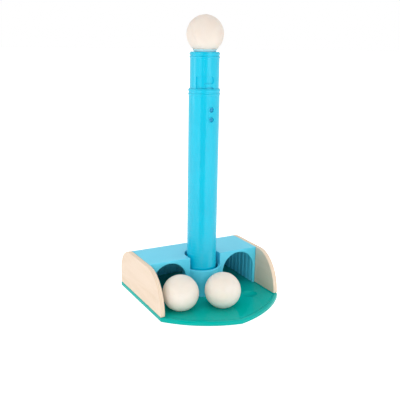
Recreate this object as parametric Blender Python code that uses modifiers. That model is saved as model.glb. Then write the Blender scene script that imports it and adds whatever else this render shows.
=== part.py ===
"""Batting tee: a home-plate tray, a two-bay ball housing, a telescoping post and its balls.

Units are metres. +Z is up, the front is towards -Y, the floor is Z = 0 and the origin is on the
floor under the middle of the tray. The post's axis is vertical, at X = 0 and Y = POST_Y.
"""

import math

import bmesh
import bpy

GAP = 0.0003                    # clearance between neighbouring pieces
MERGE = 0.00001                 # distance under which modifiers merge vertices

TRAY_HALF_WIDTH = 0.130
TRAY_BACK_Y = 0.137
TRAY_CORNER_Y = -0.063          # where a straight side meets a front edge
TRAY_TIP_Y = -0.137             # front point of the home plate
TRAY_ARC_SAGITTA = 0.0128       # how far each front edge bows outwards
TRAY_BOTTOM_Z = 0.0008
TRAY_EDGE_Z = 0.0086
TRAY_FLOOR_Z = 0.0079
TRAY_PLATE = 0.0026
TRAY_WALL = 0.0028
TRAY_RIM = 0.0070
TRAY_LEDGE_X = 0.1210           # inner side of the ledges that carry the panels
TRAY_LEDGE_Y = 0.1345
TRAY_RIB = 0.0018
TRAY_RIB_ROWS = (-0.040, 0.023, 0.080)

POST_Y = 0.023
POST_OUTER = 0.0294
POST_INNER = 0.0279
POST_TOP_Z = 0.4150
POST_BEADS_Z = (0.4116, 0.4046)
POST_BEAD_RADIUS = 0.0305
PLUG_FLANGE = 0.0028
PLUG_HEIGHT = 0.0120
PLUG_WALL = 0.0020

NOTCH_PITCH = 0.0184            # height step of the lock, and the spacing of its pegs
PEG_TOP_Z = 0.3770
PEG_HOLE = 0.0046
PEG_RADIUS = 0.0043
PEG_RECESS = 0.0033
PEG_FACE = 0.0300               # distance of the peg's outer face from the post's axis
PEG_BOSS = 0.0062

EXT_OUTER = 0.0276
EXT_INNER = 0.0250
EXT_TOP_Z = 0.4818
EXT_BOTTOM_Z = 0.2680
EXT_BEADS_Z = (0.4780, 0.4720)
EXT_BEAD_RADIUS = 0.0289
EXT_FLANGE = 0.0026
EXT_HOLE = 0.0174
GROOVE_DEPTH = 0.0013
GROOVE_TOP_Z = 0.4376           # top of the highest notch
GROOVE_NOTCHES = 9
NOTCH_HEIGHT = 0.0136
CHANNEL_ANGLES = (-152.0, -119.0)
NOTCH_ANGLES = (-120.0, -79.4)

CUP_LIP_Z = 0.4862
CUP_LIP = 0.0230
CUP_FOOT = 0.0196
CUP_STEM = 0.0171
CUP_SNAP = 0.0184
CUP_BOTTOM_Z = 0.4700
CUP_STEM_INNER = 0.0145
CUP_HOLE = 0.0120
CUP_SEAT_RADII = (CUP_HOLE, 0.0145, 0.0170, 0.0196, 0.0222)

BALL_RADIUS = 0.0350
BALL_WALL = 0.0025
BALL_VENT = 0.0012
TEE_BALL_Z = 0.5134
DIMPLE_DEPTH = 0.0034
DIMPLE_PAD = 0.0190             # radius of the thickened plate under a dimple
DIMPLES = {"left": (-0.0783, -0.0400), "center": (0.0, -0.0640), "right": (0.0783, -0.0400)}

HOUSING_HALF_WIDTH = 0.1207
HOUSING_FRONT_Y = 0.0063
HOUSING_BOTTOM_Z = TRAY_FLOOR_Z + GAP
HOUSING_TOP_Z = 0.0867
HOUSING_WALL = 0.0028
REAR_ARC_Y = 0.087              # centre of the rounded rear edge
HOUSING_ARC_RADIUS = 0.0470
BAY_X = 0.0783
BAY_RADIUS = 0.0362
BAY_SPRING_Z = 0.0453
WALL_RIB_PITCH = 0.0142
WALL_RIB_WIDTH = 0.0070
WALL_RIB_DEPTH = 0.0015
WALL_RIB_TOP_Z = 0.0450

COLLAR_OUTER = 0.0385
COLLAR_BORE = 0.0340
COLLAR_LIP_Z = 0.0630           # the front of the collar is cut down to here
COLLAR_STEP_Z = 0.0400          # the wide bore ends here, above the guide sleeve
GUIDE_BORE = 0.0298
GUIDE_WALL = 0.0024
CELL_TOP_Z = 0.0380
CELL_OUTER = 0.0358

PANEL_INNER_X = 0.1210
PANEL_THICKNESS = 0.0090
PANEL_BOTTOM_Z = TRAY_EDGE_Z + GAP
PANEL_TOP_Z = 0.0870
PANEL_FRONT_Y = -0.0625
PANEL_CREST_Y = 0.0010          # where the front curve reaches the top
PANEL_ARC_RADIUS = 0.0480
PANEL_EDGE_RADIUS = 0.0008

FOOT_RADIUS = 0.0080
FOOT_RING = 0.0100
FOOT_HEIGHT = 0.0050
FEET = {
    "front": (0.0, -0.112),
    "front_left": (-0.108, -0.050),
    "front_right": (0.108, -0.050),
    "rear_left": (-0.108, 0.100),
    "rear_right": (0.108, 0.100),
}

SCREW_SHANK = 0.0017
SCREW_HEAD = 0.0033
SCREW_HEAD_HEIGHT = 0.0020
SCREW_HOLE = 0.0020
SCREW_PAD = 0.0065              # radius of the thickened plate around a screw
SCREW_POCKET = 0.0038
SCREW_POCKET_TOP_Z = 0.0036
SCREW_TIP = 0.0015
BASE_SCREW_HEAD_Z = 0.0013
BASE_SCREW_LENGTH = 0.0200
BASE_SCREW_HOLE_TOP_Z = 0.0260
SIDE_SCREW_LENGTH = 0.0100
COLLAR_SCREW_RADIUS = 0.0333
COLLAR_BOSS = 0.0042
REAR_BOSS = 0.0055
REAR_BOSS_TOP_Z = 0.0300
HOUSING_SCREWS = {
    "front": (0.0, POST_Y - COLLAR_SCREW_RADIUS),
    "back": (0.0, POST_Y + COLLAR_SCREW_RADIUS),
    "left": (-COLLAR_SCREW_RADIUS, POST_Y),
    "right": (COLLAR_SCREW_RADIUS, POST_Y),
    "rear_left": (-0.100, 0.1255),
    "rear_right": (0.100, 0.1255),
}
PANEL_BASE_SCREWS = {
    "left_front": (-0.1255, -0.030),
    "left_rear": (-0.1255, 0.095),
    "right_front": (0.1255, -0.030),
    "right_rear": (0.1255, 0.095),
}
PANEL_SIDE_SCREWS = {           # side, then Y between two wall ribs, then Z
    "left_front": (-1.0, POST_Y + 0.5 * WALL_RIB_PITCH, 0.070),
    "left_rear": (-1.0, POST_Y + 5.5 * WALL_RIB_PITCH, 0.062),
    "right_front": (1.0, POST_Y + 0.5 * WALL_RIB_PITCH, 0.070),
    "right_rear": (1.0, POST_Y + 5.5 * WALL_RIB_PITCH, 0.062),
}

TUBE_SEGMENTS = 32
BALL_SEGMENTS = 24
SCREW_SEGMENTS = 10

ABOVE = 0.100                   # height clear above the housing, where cutters end
BELOW = -0.002                  # height clear under the tray, where cutters end
BELOW_COLLAR = 1.5 * BELOW      # clear of the shell, which ends at BELOW
LOWER = 2.0 * BELOW             # clear of the collar's front
LOWEST = 3.0 * BELOW            # clear of cutters that end at LOWER


# ---------------------------------------------------------------- scene and materials

def clear_scene():
    for obj in list(bpy.data.objects):
        bpy.data.objects.remove(obj, do_unlink=True)


def new_collection(name):
    collection = bpy.data.collections.new(name)
    bpy.context.scene.collection.children.link(collection)
    return collection


def new_material(name, colour, roughness, metallic=0.0):
    material = bpy.data.materials.new(name)
    material.use_nodes = True
    shader = material.node_tree.nodes["Principled BSDF"]
    shader.inputs["Base Color"].default_value = (*colour, 1.0)
    shader.inputs["Roughness"].default_value = roughness
    shader.inputs["Metallic"].default_value = metallic
    return material


clear_scene()
PARTS = new_collection("batting_tee")
CUTTERS = new_collection("batting_tee_cutters")

TRAY_GREEN = new_material("tray_green", (0.0, 0.37, 0.32), 0.18)
HOUSING_BLUE = new_material("housing_blue", (0.13, 0.62, 0.79), 0.32)
TUBE_BLUE = new_material("tube_blue", (0.03, 0.58, 0.80), 0.28)
PEG_BLUE = new_material("peg_blue", (0.0, 0.28, 0.48), 0.30)
CUP_PALE = new_material("cup_pale", (0.52, 0.72, 0.74), 0.45)
PLYWOOD = new_material("plywood", (0.91, 0.78, 0.62), 0.55)
BALL_VINYL = new_material("ball_vinyl", (0.87, 0.81, 0.73), 0.50)
RUBBER = new_material("rubber", (0.05, 0.05, 0.05), 0.80)
STEEL = new_material("steel", (0.62, 0.62, 0.64), 0.35, 1.0)


# ---------------------------------------------------------------- shapes

def add_object(name, mesh, material=None, location=(0.0, 0.0, 0.0), rotation=(0.0, 0.0, 0.0)):
    """Links a mesh as a part when it has a material, and otherwise as a hidden cutter."""
    obj = bpy.data.objects.new(name, mesh)
    obj.location = location
    obj.rotation_euler = rotation
    if material is None:
        CUTTERS.objects.link(obj)
        obj.hide_render = True
        obj.display_type = "WIRE"
    else:
        PARTS.objects.link(obj)
        mesh.materials.append(material)
    return obj


def add_prism(name, outline, thickness, material=None, location=(0.0, 0.0, 0.0),
              rotation=(0.0, 0.0, 0.0)):
    """A flat outline in the local XY plane, thickened equally to both sides of that plane."""
    curve = bpy.data.curves.new(name + "_outline", "CURVE")
    curve.dimensions = "2D"
    curve.fill_mode = "BOTH"
    curve.extrude = thickness / 2.0
    spline = curve.splines.new("POLY")
    spline.points.add(len(outline) - 1)
    for point, (x, y) in zip(spline.points, outline):
        point.co = (x, y, 0.0, 1.0)
    spline.use_cyclic_u = True
    guide = bpy.data.objects.new(name + "_outline", curve)
    bpy.context.scene.collection.objects.link(guide)
    graph = bpy.context.evaluated_depsgraph_get()
    mesh = bpy.data.meshes.new_from_object(guide.evaluated_get(graph))
    bpy.data.objects.remove(guide, do_unlink=True)
    shape = bmesh.new()
    shape.from_mesh(mesh)
    bmesh.ops.remove_doubles(shape, verts=shape.verts, dist=MERGE)
    bmesh.ops.recalc_face_normals(shape, faces=shape.faces)
    shape.to_mesh(mesh)
    shape.free()
    mesh.name = name
    return add_object(name, mesh, material, location, rotation)


def add_plate(name, outline, low_z, high_z, material=None):
    """A prism standing on the XY plane, between two heights."""
    middle = (0.0, 0.0, (low_z + high_z) / 2.0)
    return add_prism(name, outline, high_z - low_z, material, middle)


def add_side_prism(name, outline, low_x, high_x, material=None):
    """A prism whose outline is drawn in the YZ plane, between two X positions."""
    middle = ((low_x + high_x) / 2.0, 0.0, 0.0)
    upright = (math.pi / 2.0, 0.0, math.pi / 2.0)
    return add_prism(name, outline, high_x - low_x, material, middle, upright)


def add_boxes(name, corners):
    """One cutter mesh of separate boxes, each given by its lowest and highest corner."""
    shape = bmesh.new()
    for low, high in corners:
        cube = bmesh.ops.create_cube(shape, size=1.0)["verts"]
        size = [high[axis] - low[axis] for axis in range(3)]
        middle = [(high[axis] + low[axis]) / 2.0 for axis in range(3)]
        bmesh.ops.scale(shape, verts=cube, vec=size)
        bmesh.ops.translate(shape, verts=cube, vec=middle)
    mesh = bpy.data.meshes.new(name)
    shape.to_mesh(mesh)
    shape.free()
    return add_object(name, mesh)


def add_cylinders(name, places, radius, low_z, high_z, segments=12):
    """One cutter mesh of upright cylinders at the given XY places."""
    shape = bmesh.new()
    for x, y in places:
        column = bmesh.ops.create_cone(shape, cap_ends=True, segments=segments, radius1=radius,
                                       radius2=radius, depth=high_z - low_z)["verts"]
        bmesh.ops.translate(shape, verts=column, vec=(x, y, (low_z + high_z) / 2.0))
    mesh = bpy.data.meshes.new(name)
    shape.to_mesh(mesh)
    shape.free()
    return add_object(name, mesh)


def add_turned(name, profile, material=None, location=(0.0, 0.0, 0.0), rotation=(0.0, 0.0, 0.0),
               segments=TUBE_SEGMENTS, closed=False):
    """Turns (radius, height) points about the local Z axis; a closed profile is a ring."""
    mesh = bpy.data.meshes.new(name)
    points = [(radius, 0.0, height) for radius, height in profile]
    edges = [(index, index + 1) for index in range(len(points) - 1)]
    if closed:
        edges.append((len(points) - 1, 0))
    mesh.from_pydata(points, edges, [])
    obj = add_object(name, mesh, material, location, rotation)
    screw = obj.modifiers.new("turn", "SCREW")
    screw.axis = "Z"
    screw.angle = 2.0 * math.pi
    screw.steps = segments
    screw.render_steps = segments
    screw.use_smooth_shade = True
    screw.use_merge_vertices = True
    screw.merge_threshold = MERGE
    return obj


def combine(target, tool, operation="DIFFERENCE"):
    boolean = target.modifiers.new(tool.name, "BOOLEAN")
    boolean.operation = operation
    boolean.solver = "EXACT"
    boolean.object = tool


def arc(centre, radius_x, radius_y, start, end, steps):
    """Points of a circle or ellipse between two angles in degrees, both ends included."""
    points = []
    for index in range(steps + 1):
        angle = math.radians(start + (end - start) * index / steps)
        points.append((centre[0] + radius_x * math.cos(angle),
                       centre[1] + radius_y * math.sin(angle)))
    return points


def bead(height, base, crest, half):
    """Profile points of a half-round bead, from its top down."""
    shoulder = base + (crest - base) * 0.75
    return [(base, height + half), (shoulder, height + half * 0.6), (crest, height),
            (shoulder, height - half * 0.6), (base, height - half)]


# ---------------------------------------------------------------- tray and feet

def front_arc_circle():
    """Centre and radius of the right front edge's circle, from its chord and sagitta."""
    run = TRAY_HALF_WIDTH
    rise = TRAY_CORNER_Y - TRAY_TIP_Y
    chord = math.hypot(run, rise)
    radius = (chord * chord / 4.0 + TRAY_ARC_SAGITTA ** 2) / (2.0 * TRAY_ARC_SAGITTA)
    back = radius - TRAY_ARC_SAGITTA
    return ((run / 2.0 - back * rise / chord, (TRAY_TIP_Y + TRAY_CORNER_Y) / 2.0
             + back * run / chord), radius)


def tray_outline(inset, side, back, steps=8):
    """Home-plate outline whose front edges are moved inwards by inset."""
    (centre_x, centre_y), radius = front_arc_circle()
    radius -= inset
    tip = math.acos(-centre_x / radius)
    corner = math.acos((side - centre_x) / radius)
    right = arc((centre_x, centre_y), radius, radius, -math.degrees(tip),
                -math.degrees(corner), steps)
    right.append((side, back))
    left = [(-x, y) for x, y in reversed(right[1:])]
    return right + left


def tray_underside():
    """The hollow under the tray's plate, with the ribs and bosses left standing in it."""
    top = TRAY_FLOOR_Z - TRAY_PLATE
    outline = tray_outline(TRAY_WALL, TRAY_HALF_WIDTH - TRAY_WALL, TRAY_BACK_Y - TRAY_WALL)
    hollow = add_plate("tray_underside", outline, BELOW, top)
    half = TRAY_RIB / 2.0
    reach = TRAY_BACK_Y + TRAY_WALL
    rows = [((-reach, y - half, LOWER), (reach, y + half, ABOVE))
            for y in TRAY_RIB_ROWS]
    columns = [((x - half, -reach, LOWER), (x + half, reach, ABOVE))
               for x in (-BAY_X, 0.0, BAY_X)]
    combine(hollow, add_boxes("tray_rib_rows", rows))
    combine(hollow, add_boxes("tray_rib_columns", columns))
    dimple_pads = add_cylinders("dimple_pads", DIMPLES.values(), DIMPLE_PAD, LOWER, ABOVE)
    combine(hollow, dimple_pads)
    combine(hollow, add_cylinders("foot_rings", FEET.values(), FOOT_RING, LOWER, ABOVE))
    screws = [*HOUSING_SCREWS.values(), *PANEL_BASE_SCREWS.values()]
    combine(hollow, add_cylinders("screw_pads", screws, SCREW_PAD, LOWER, ABOVE))
    return hollow


def dimple_cutter():
    """Balls slightly larger than the real ones, sunk into the tray's floor."""
    shape = bmesh.new()
    height = TRAY_FLOOR_Z - DIMPLE_DEPTH + BALL_RADIUS
    for x, y in DIMPLES.values():
        ball = bmesh.ops.create_uvsphere(shape, u_segments=20, v_segments=20,
                                         radius=BALL_RADIUS + GAP)["verts"]
        bmesh.ops.translate(shape, verts=ball, vec=(x, y, height))
    mesh = bpy.data.meshes.new("dimple_balls")
    shape.to_mesh(mesh)
    shape.free()
    return add_object("dimple_balls", mesh)


def build_tray():
    outline = tray_outline(0.0, TRAY_HALF_WIDTH, TRAY_BACK_Y)
    tray = add_plate("tray", outline, TRAY_BOTTOM_Z, TRAY_EDGE_Z, TRAY_GREEN)
    combine(tray, tray_underside())
    floor = tray_outline(TRAY_RIM, TRAY_LEDGE_X, TRAY_LEDGE_Y)
    combine(tray, add_plate("tray_floor", floor, TRAY_FLOOR_Z, ABOVE))
    combine(tray, dimple_cutter())
    pocket_top = TRAY_FLOOR_Z - TRAY_PLATE
    combine(tray, add_cylinders("foot_pockets", FEET.values(), FOOT_RADIUS + GAP, BELOW,
                                pocket_top))
    screws = [*HOUSING_SCREWS.values(), *PANEL_BASE_SCREWS.values()]
    combine(tray, add_cylinders("screw_pockets", screws, SCREW_POCKET, BELOW,
                                SCREW_POCKET_TOP_Z))
    combine(tray, add_cylinders("screw_holes", screws, SCREW_HOLE, BELOW, ABOVE,
                                SCREW_SEGMENTS))
    return tray


def build_feet():
    """Rubber buttons that stand on the floor, each in its ring under the tray."""
    rounding = 0.001
    profile = [(0.0, FOOT_HEIGHT), (FOOT_RADIUS, FOOT_HEIGHT), (FOOT_RADIUS, rounding),
               (FOOT_RADIUS - rounding, 0.0), (0.0, 0.0)]
    return [add_turned("foot_" + name, profile, RUBBER, (x, y, 0.0), segments=16)
            for name, (x, y) in FEET.items()]


# ---------------------------------------------------------------- housing

def housing_outline(inset, bottom):
    """Side view of the housing: straight front and top, and a rounded rear edge."""
    front = HOUSING_FRONT_Y + inset
    top = HOUSING_TOP_Z - inset
    radius = HOUSING_ARC_RADIUS - inset
    rear = arc((REAR_ARC_Y, HOUSING_TOP_Z - HOUSING_ARC_RADIUS), radius, radius, 0.0, 90.0, 10)
    return [(front, bottom), (REAR_ARC_Y + radius, bottom), *rear, (front, top)]


def wall_ribs():
    """Flat vertical ribs that stand proud of the back wall and of both side walls."""
    half = WALL_RIB_WIDTH / 2.0
    back = REAR_ARC_Y + HOUSING_ARC_RADIUS
    ribs = []
    for index in range(-7, 8):
        x = index * WALL_RIB_PITCH
        ribs.append(((x - half, back - HOUSING_WALL - WALL_RIB_DEPTH, LOWEST),
                     (x + half, back, WALL_RIB_TOP_Z)))
    inner = HOUSING_HALF_WIDTH - HOUSING_WALL - WALL_RIB_DEPTH
    for index in range(7):
        y = POST_Y + index * WALL_RIB_PITCH
        for low, high in ((-HOUSING_HALF_WIDTH, -inner), (inner, HOUSING_HALF_WIDTH)):
            ribs.append(((low, y - half, LOWEST), (high, y + half, ABOVE)))
    return add_boxes("wall_ribs", ribs)


def housing_room():
    """The room inside the shell, around the collar, the screw bosses and the wall ribs."""
    inner = HOUSING_HALF_WIDTH - HOUSING_WALL
    room = add_side_prism("housing_room", housing_outline(HOUSING_WALL, LOWER), -inner, inner)
    combine(room, add_cylinders("collar_core", [(0.0, POST_Y)], COLLAR_OUTER, LOWEST, ABOVE,
                                TUBE_SEGMENTS))
    combine(room, wall_ribs())
    rear = [place for name, place in HOUSING_SCREWS.items() if name.startswith("rear")]
    combine(room, add_cylinders("rear_bosses", rear, REAR_BOSS, LOWEST, REAR_BOSS_TOP_Z))
    return room


def guide_cells():
    """Hollow cells between the guide sleeve and the collar, around its screw bosses."""
    inner = GUIDE_BORE + GUIDE_WALL
    bottom = LOWER
    profile = [(CELL_OUTER, CELL_TOP_Z), (CELL_OUTER, bottom), (inner, bottom),
               (inner, CELL_TOP_Z)]
    cells = add_turned("guide_cells", profile, location=(0.0, POST_Y, 0.0), closed=True)
    bosses = [place for name, place in HOUSING_SCREWS.items() if not name.startswith("rear")]
    combine(cells, add_cylinders("collar_bosses", bosses, COLLAR_BOSS, LOWEST, ABOVE))
    return cells


def bay_arch(name, x):
    outline = [(x - BAY_RADIUS, LOWER), (x + BAY_RADIUS, LOWER)]
    outline += arc((x, BAY_SPRING_Z), BAY_RADIUS, BAY_RADIUS, 0.0, 180.0, 16)
    middle = (0.0, HOUSING_FRONT_Y, 0.0)
    return add_prism(name, outline, HOUSING_WALL * 3, None, middle, (math.pi / 2.0, 0.0, 0.0))


def side_screw_cutter(name, start, end):
    """Horizontal holes at the panels' side screws, between two distances from the middle."""
    shape = bmesh.new()
    for side, y, z in PANEL_SIDE_SCREWS.values():
        hole = bmesh.ops.create_cone(shape, cap_ends=True, segments=SCREW_SEGMENTS,
                                     radius1=SCREW_HOLE, radius2=SCREW_HOLE,
                                     depth=end - start)["verts"]
        for vertex in hole:
            across, along, up = vertex.co
            vertex.co = (side * (up + (start + end) / 2.0), y + side * along, z + across)
    bmesh.ops.recalc_face_normals(shape, faces=shape.faces)
    mesh = bpy.data.meshes.new(name)
    shape.to_mesh(mesh)
    shape.free()
    return add_object(name, mesh)


def collar_opening():
    """U-shaped prism that opens the collar to the front above its lip."""
    radius = COLLAR_BORE + GAP
    outline = [(-radius, POST_Y - 2 * COLLAR_OUTER), (radius, POST_Y - 2 * COLLAR_OUTER)]
    outline += arc((0.0, POST_Y), radius, radius, 0.0, 180.0, TUBE_SEGMENTS // 2)
    return add_plate("collar_opening", outline, COLLAR_LIP_Z, ABOVE)


def build_housing():
    outline = housing_outline(0.0, BELOW)
    housing = add_side_prism("housing", outline, -HOUSING_HALF_WIDTH, HOUSING_HALF_WIDTH,
                             HOUSING_BLUE)
    post = [(0.0, POST_Y)]
    combine(housing, add_cylinders("collar_front", post, COLLAR_OUTER, BELOW_COLLAR,
                                   COLLAR_LIP_Z, TUBE_SEGMENTS), "UNION")
    combine(housing, housing_room())
    combine(housing, add_cylinders("collar_bore", post, COLLAR_BORE, COLLAR_STEP_Z, ABOVE,
                                   TUBE_SEGMENTS))
    combine(housing, add_cylinders("guide_bore", post, GUIDE_BORE, LOWER, COLLAR_LIP_Z,
                                   TUBE_SEGMENTS))
    combine(housing, guide_cells())
    combine(housing, collar_opening())
    combine(housing, bay_arch("left_bay", -BAY_X))
    combine(housing, bay_arch("right_bay", BAY_X))
    combine(housing, add_cylinders("housing_screw_holes", HOUSING_SCREWS.values(), SCREW_HOLE,
                                   LOWER, BASE_SCREW_HOLE_TOP_Z, SCREW_SEGMENTS))
    combine(housing, side_screw_cutter("housing_side_holes", HOUSING_HALF_WIDTH - 2 * HOUSING_WALL,
                                       HOUSING_HALF_WIDTH + HOUSING_WALL))
    reach = TRAY_HALF_WIDTH * 1.5
    under = [((-reach, -reach, LOWEST), (reach, reach, HOUSING_BOTTOM_Z))]
    combine(housing, add_boxes("housing_underside", under))
    return housing


# ---------------------------------------------------------------- side panels

def panel_outline():
    """Side view of a panel: a quarter-ellipse front, a flat top and a rounded rear."""
    top_arc_z = PANEL_TOP_Z - PANEL_ARC_RADIUS
    rear = arc((REAR_ARC_Y, top_arc_z), PANEL_ARC_RADIUS, PANEL_ARC_RADIUS, 0.0, 90.0, 10)
    front = arc((PANEL_CREST_Y, PANEL_BOTTOM_Z), PANEL_CREST_Y - PANEL_FRONT_Y,
                PANEL_TOP_Z - PANEL_BOTTOM_Z, 90.0, 180.0, 14)
    return [(REAR_ARC_Y + PANEL_ARC_RADIUS, PANEL_BOTTOM_Z), *rear, *front]


def build_panel(name, side):
    edges = sorted((side * PANEL_INNER_X, side * (PANEL_INNER_X + PANEL_THICKNESS)))
    panel = add_side_prism(name, panel_outline(), edges[0], edges[1], PLYWOOD)
    bevel = panel.modifiers.new("eased_edges", "BEVEL")
    bevel.width = PANEL_EDGE_RADIUS
    bevel.segments = 1
    bevel.limit_method = "ANGLE"
    bevel.angle_limit = math.radians(50.0)
    base = [place for place in PANEL_BASE_SCREWS.values() if place[0] * side > 0.0]
    combine(panel, add_cylinders(name + "_base_holes", base, SCREW_HOLE, BELOW,
                                 BASE_SCREW_HOLE_TOP_Z, SCREW_SEGMENTS))
    combine(panel, side_screw_cutter(name + "_side_holes", HOUSING_HALF_WIDTH,
                                     PANEL_INNER_X + PANEL_THICKNESS * 0.8))
    return panel


# ---------------------------------------------------------------- post, extension and cup

def build_post():
    bottom = HOUSING_BOTTOM_Z + PLUG_FLANGE + GAP
    chamfer = 0.0006
    profile = [(POST_OUTER - chamfer, POST_TOP_Z), (POST_OUTER, POST_TOP_Z - chamfer)]
    for height in POST_BEADS_Z:
        profile += bead(height, POST_OUTER, POST_BEAD_RADIUS, 0.0018)
    profile += [(POST_OUTER, bottom), (POST_INNER, bottom), (POST_INNER, POST_TOP_Z)]
    axis = (0.0, POST_Y, 0.0)
    post = add_turned("post_tube", profile, TUBE_BLUE, axis, closed=True)
    for index in range(2):
        height = PEG_TOP_Z - index * NOTCH_PITCH
        boss = peg_cylinder("peg_boss_%d" % index, PEG_BOSS, POST_INNER + GAP * 2,
                            PEG_FACE - GAP / 2, height)
        combine(post, boss, "UNION")
        hole = peg_cylinder("peg_hole_%d" % index, PEG_HOLE, POST_INNER * 0.8,
                            PEG_FACE * 1.1, height)
        combine(post, hole)
    return post


def peg_cylinder(name, radius, start, end, height):
    """A cutter along -Y from the post's axis, between two distances from that axis."""
    profile = [(0.0, end), (radius, end), (radius, start), (0.0, start)]
    return add_turned(name, profile, None, (0.0, POST_Y, height), (math.pi / 2.0, 0.0, 0.0), 16)


def build_pegs():
    """Lock pegs, cored from outside, whose inner faces are level with the tube's bore."""
    inner = POST_INNER + GAP / 6
    floor = inner + 0.0006
    profile = [(0.0, floor), (PEG_RECESS, floor), (PEG_RECESS, PEG_FACE), (PEG_RADIUS, PEG_FACE),
               (PEG_RADIUS, inner), (0.0, inner)]
    pegs = []
    for name, height in (("upper", PEG_TOP_Z), ("lower", PEG_TOP_Z - NOTCH_PITCH)):
        pegs.append(add_turned("lock_peg_" + name, profile, PEG_BLUE, (0.0, POST_Y, height),
                               (math.pi / 2.0, 0.0, 0.0), 16))
    return pegs


def build_plug():
    """The cap in the post's lower end, with a flange under the tube."""
    flange = POST_OUTER - GAP
    skirt = POST_INNER - GAP
    bore = skirt - PLUG_WALL
    profile = [(0.0, PLUG_WALL), (bore, PLUG_WALL), (bore, PLUG_HEIGHT), (skirt, PLUG_HEIGHT),
               (skirt, PLUG_FLANGE), (flange, PLUG_FLANGE), (flange, 0.0), (0.0, 0.0)]
    return add_turned("post_plug", profile, TUBE_BLUE, (0.0, POST_Y, HOUSING_BOTTOM_Z))


def wedge_outline(angles, reach):
    start, end = angles
    return [(0.0, 0.0), *arc((0.0, 0.0), reach, reach, start, end, 3)]


def groove_ring(name, spans):
    """Rings that reach GROOVE_DEPTH into the extension tube, one for each span of height."""
    inner = EXT_OUTER - GROOVE_DEPTH
    outer = EXT_OUTER + GROOVE_DEPTH
    shape = bmesh.new()
    for low, high in spans:
        corners = [shape.verts.new((radius, 0.0, height)) for radius, height in
                   ((outer, high), (outer, low), (inner, low), (inner, high))]
        for index in range(4):
            shape.edges.new((corners[index - 1], corners[index]))
    mesh = bpy.data.meshes.new(name)
    shape.to_mesh(mesh)
    shape.free()
    ring = add_object(name, mesh, location=(0.0, POST_Y, 0.0))
    screw = ring.modifiers.new("turn", "SCREW")
    screw.steps = TUBE_SEGMENTS
    screw.render_steps = TUBE_SEGMENTS
    screw.use_merge_vertices = True
    screw.merge_threshold = MERGE
    screw.use_normal_calculate = True
    return ring


def wedge_cutter(name, angles):
    wedge = add_plate(name, wedge_outline(angles, EXT_OUTER * 2), 0.2, 0.5)
    wedge.location.y = POST_Y
    return wedge


def build_extension():
    shoulder = EXT_OUTER - 0.0008
    profile = [(shoulder, EXT_TOP_Z), (EXT_OUTER, EXT_TOP_Z - 0.0008)]
    for height in EXT_BEADS_Z:
        profile += bead(height, EXT_OUTER, EXT_BEAD_RADIUS, 0.0016)
    ceiling = EXT_TOP_Z - EXT_FLANGE
    profile += [(EXT_OUTER, EXT_BOTTOM_Z), (EXT_INNER, EXT_BOTTOM_Z), (EXT_INNER, ceiling),
                (EXT_HOLE, ceiling), (EXT_HOLE, EXT_TOP_Z)]
    axis = (0.0, POST_Y, 0.0)
    extension = add_turned("extension_tube", profile, TUBE_BLUE, axis, closed=True)
    channel = groove_ring("groove_channel", [(EXT_BOTTOM_Z - 0.002, GROOVE_TOP_Z)])
    combine(channel, wedge_cutter("channel_wedge", CHANNEL_ANGLES), "INTERSECT")
    combine(extension, channel)
    tops = [GROOVE_TOP_Z - index * NOTCH_PITCH for index in range(GROOVE_NOTCHES)]
    notches = groove_ring("groove_notches", [(top - NOTCH_HEIGHT, top) for top in tops])
    combine(notches, wedge_cutter("notch_wedge", NOTCH_ANGLES), "INTERSECT")
    combine(extension, notches)
    return extension


def seat_height(radius):
    """Height of the cup's spherical seat at a distance from its axis."""
    return TEE_BALL_Z - math.sqrt((BALL_RADIUS + GAP) ** 2 - radius ** 2)


def build_cup():
    """A flared seat for the ball, with a stem that snaps through the extension's top."""
    bottom = EXT_TOP_Z + GAP
    under = EXT_TOP_Z - EXT_FLANGE - GAP
    seat = [(radius, seat_height(radius)) for radius in CUP_SEAT_RADII]
    profile = [(CUP_LIP - 0.0004, CUP_LIP_Z), (CUP_LIP, CUP_LIP_Z - 0.0008), (CUP_FOOT, bottom),
               (CUP_STEM, bottom), (CUP_STEM, under), (CUP_SNAP, under - 0.0006),
               (CUP_SNAP, under - 0.0020), (CUP_STEM - 0.0006, CUP_BOTTOM_Z),
               (CUP_STEM_INNER, CUP_BOTTOM_Z), (CUP_STEM_INNER, under), (CUP_HOLE, under)]
    return add_turned("ball_cup", profile + seat, CUP_PALE, (0.0, POST_Y, 0.0), closed=True)


# ---------------------------------------------------------------- balls and screws

def build_ball(name, location):
    """A hollow moulded ball with a small vent at its lowest point."""
    inner = BALL_RADIUS - BALL_WALL
    vent = math.degrees(math.asin(BALL_VENT / BALL_RADIUS))
    inner_vent = math.degrees(math.asin(BALL_VENT / inner))
    outside = arc((0.0, 0.0), BALL_RADIUS, BALL_RADIUS, 90.0, -90.0 + vent, 12)
    inside = arc((0.0, 0.0), inner, inner, -90.0 + inner_vent, 90.0, 6)
    outside[0] = (0.0, BALL_RADIUS)
    inside[-1] = (0.0, inner)
    return add_turned(name, outside + inside, BALL_VINYL, location, segments=BALL_SEGMENTS)


def build_balls():
    height = TRAY_FLOOR_Z - DIMPLE_DEPTH + BALL_RADIUS
    tee_ball = build_ball("tee_ball", (0.0, POST_Y, TEE_BALL_Z))
    stored = [build_ball("stored_ball_" + name, (*DIMPLES[name], height))
              for name in ("left", "center")]
    return tee_ball, stored


def screw_profile(length):
    """A pan-head screw that points up, with its head's flat side at height zero."""
    head_top = SCREW_HEAD_HEIGHT
    return [(0.0, head_top + length), (SCREW_SHANK, head_top + length - SCREW_TIP),
            (SCREW_SHANK, head_top), (SCREW_HEAD, head_top), (SCREW_HEAD, head_top * 0.4),
            (SCREW_HEAD * 0.75, 0.0), (0.0, 0.0)]


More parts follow.
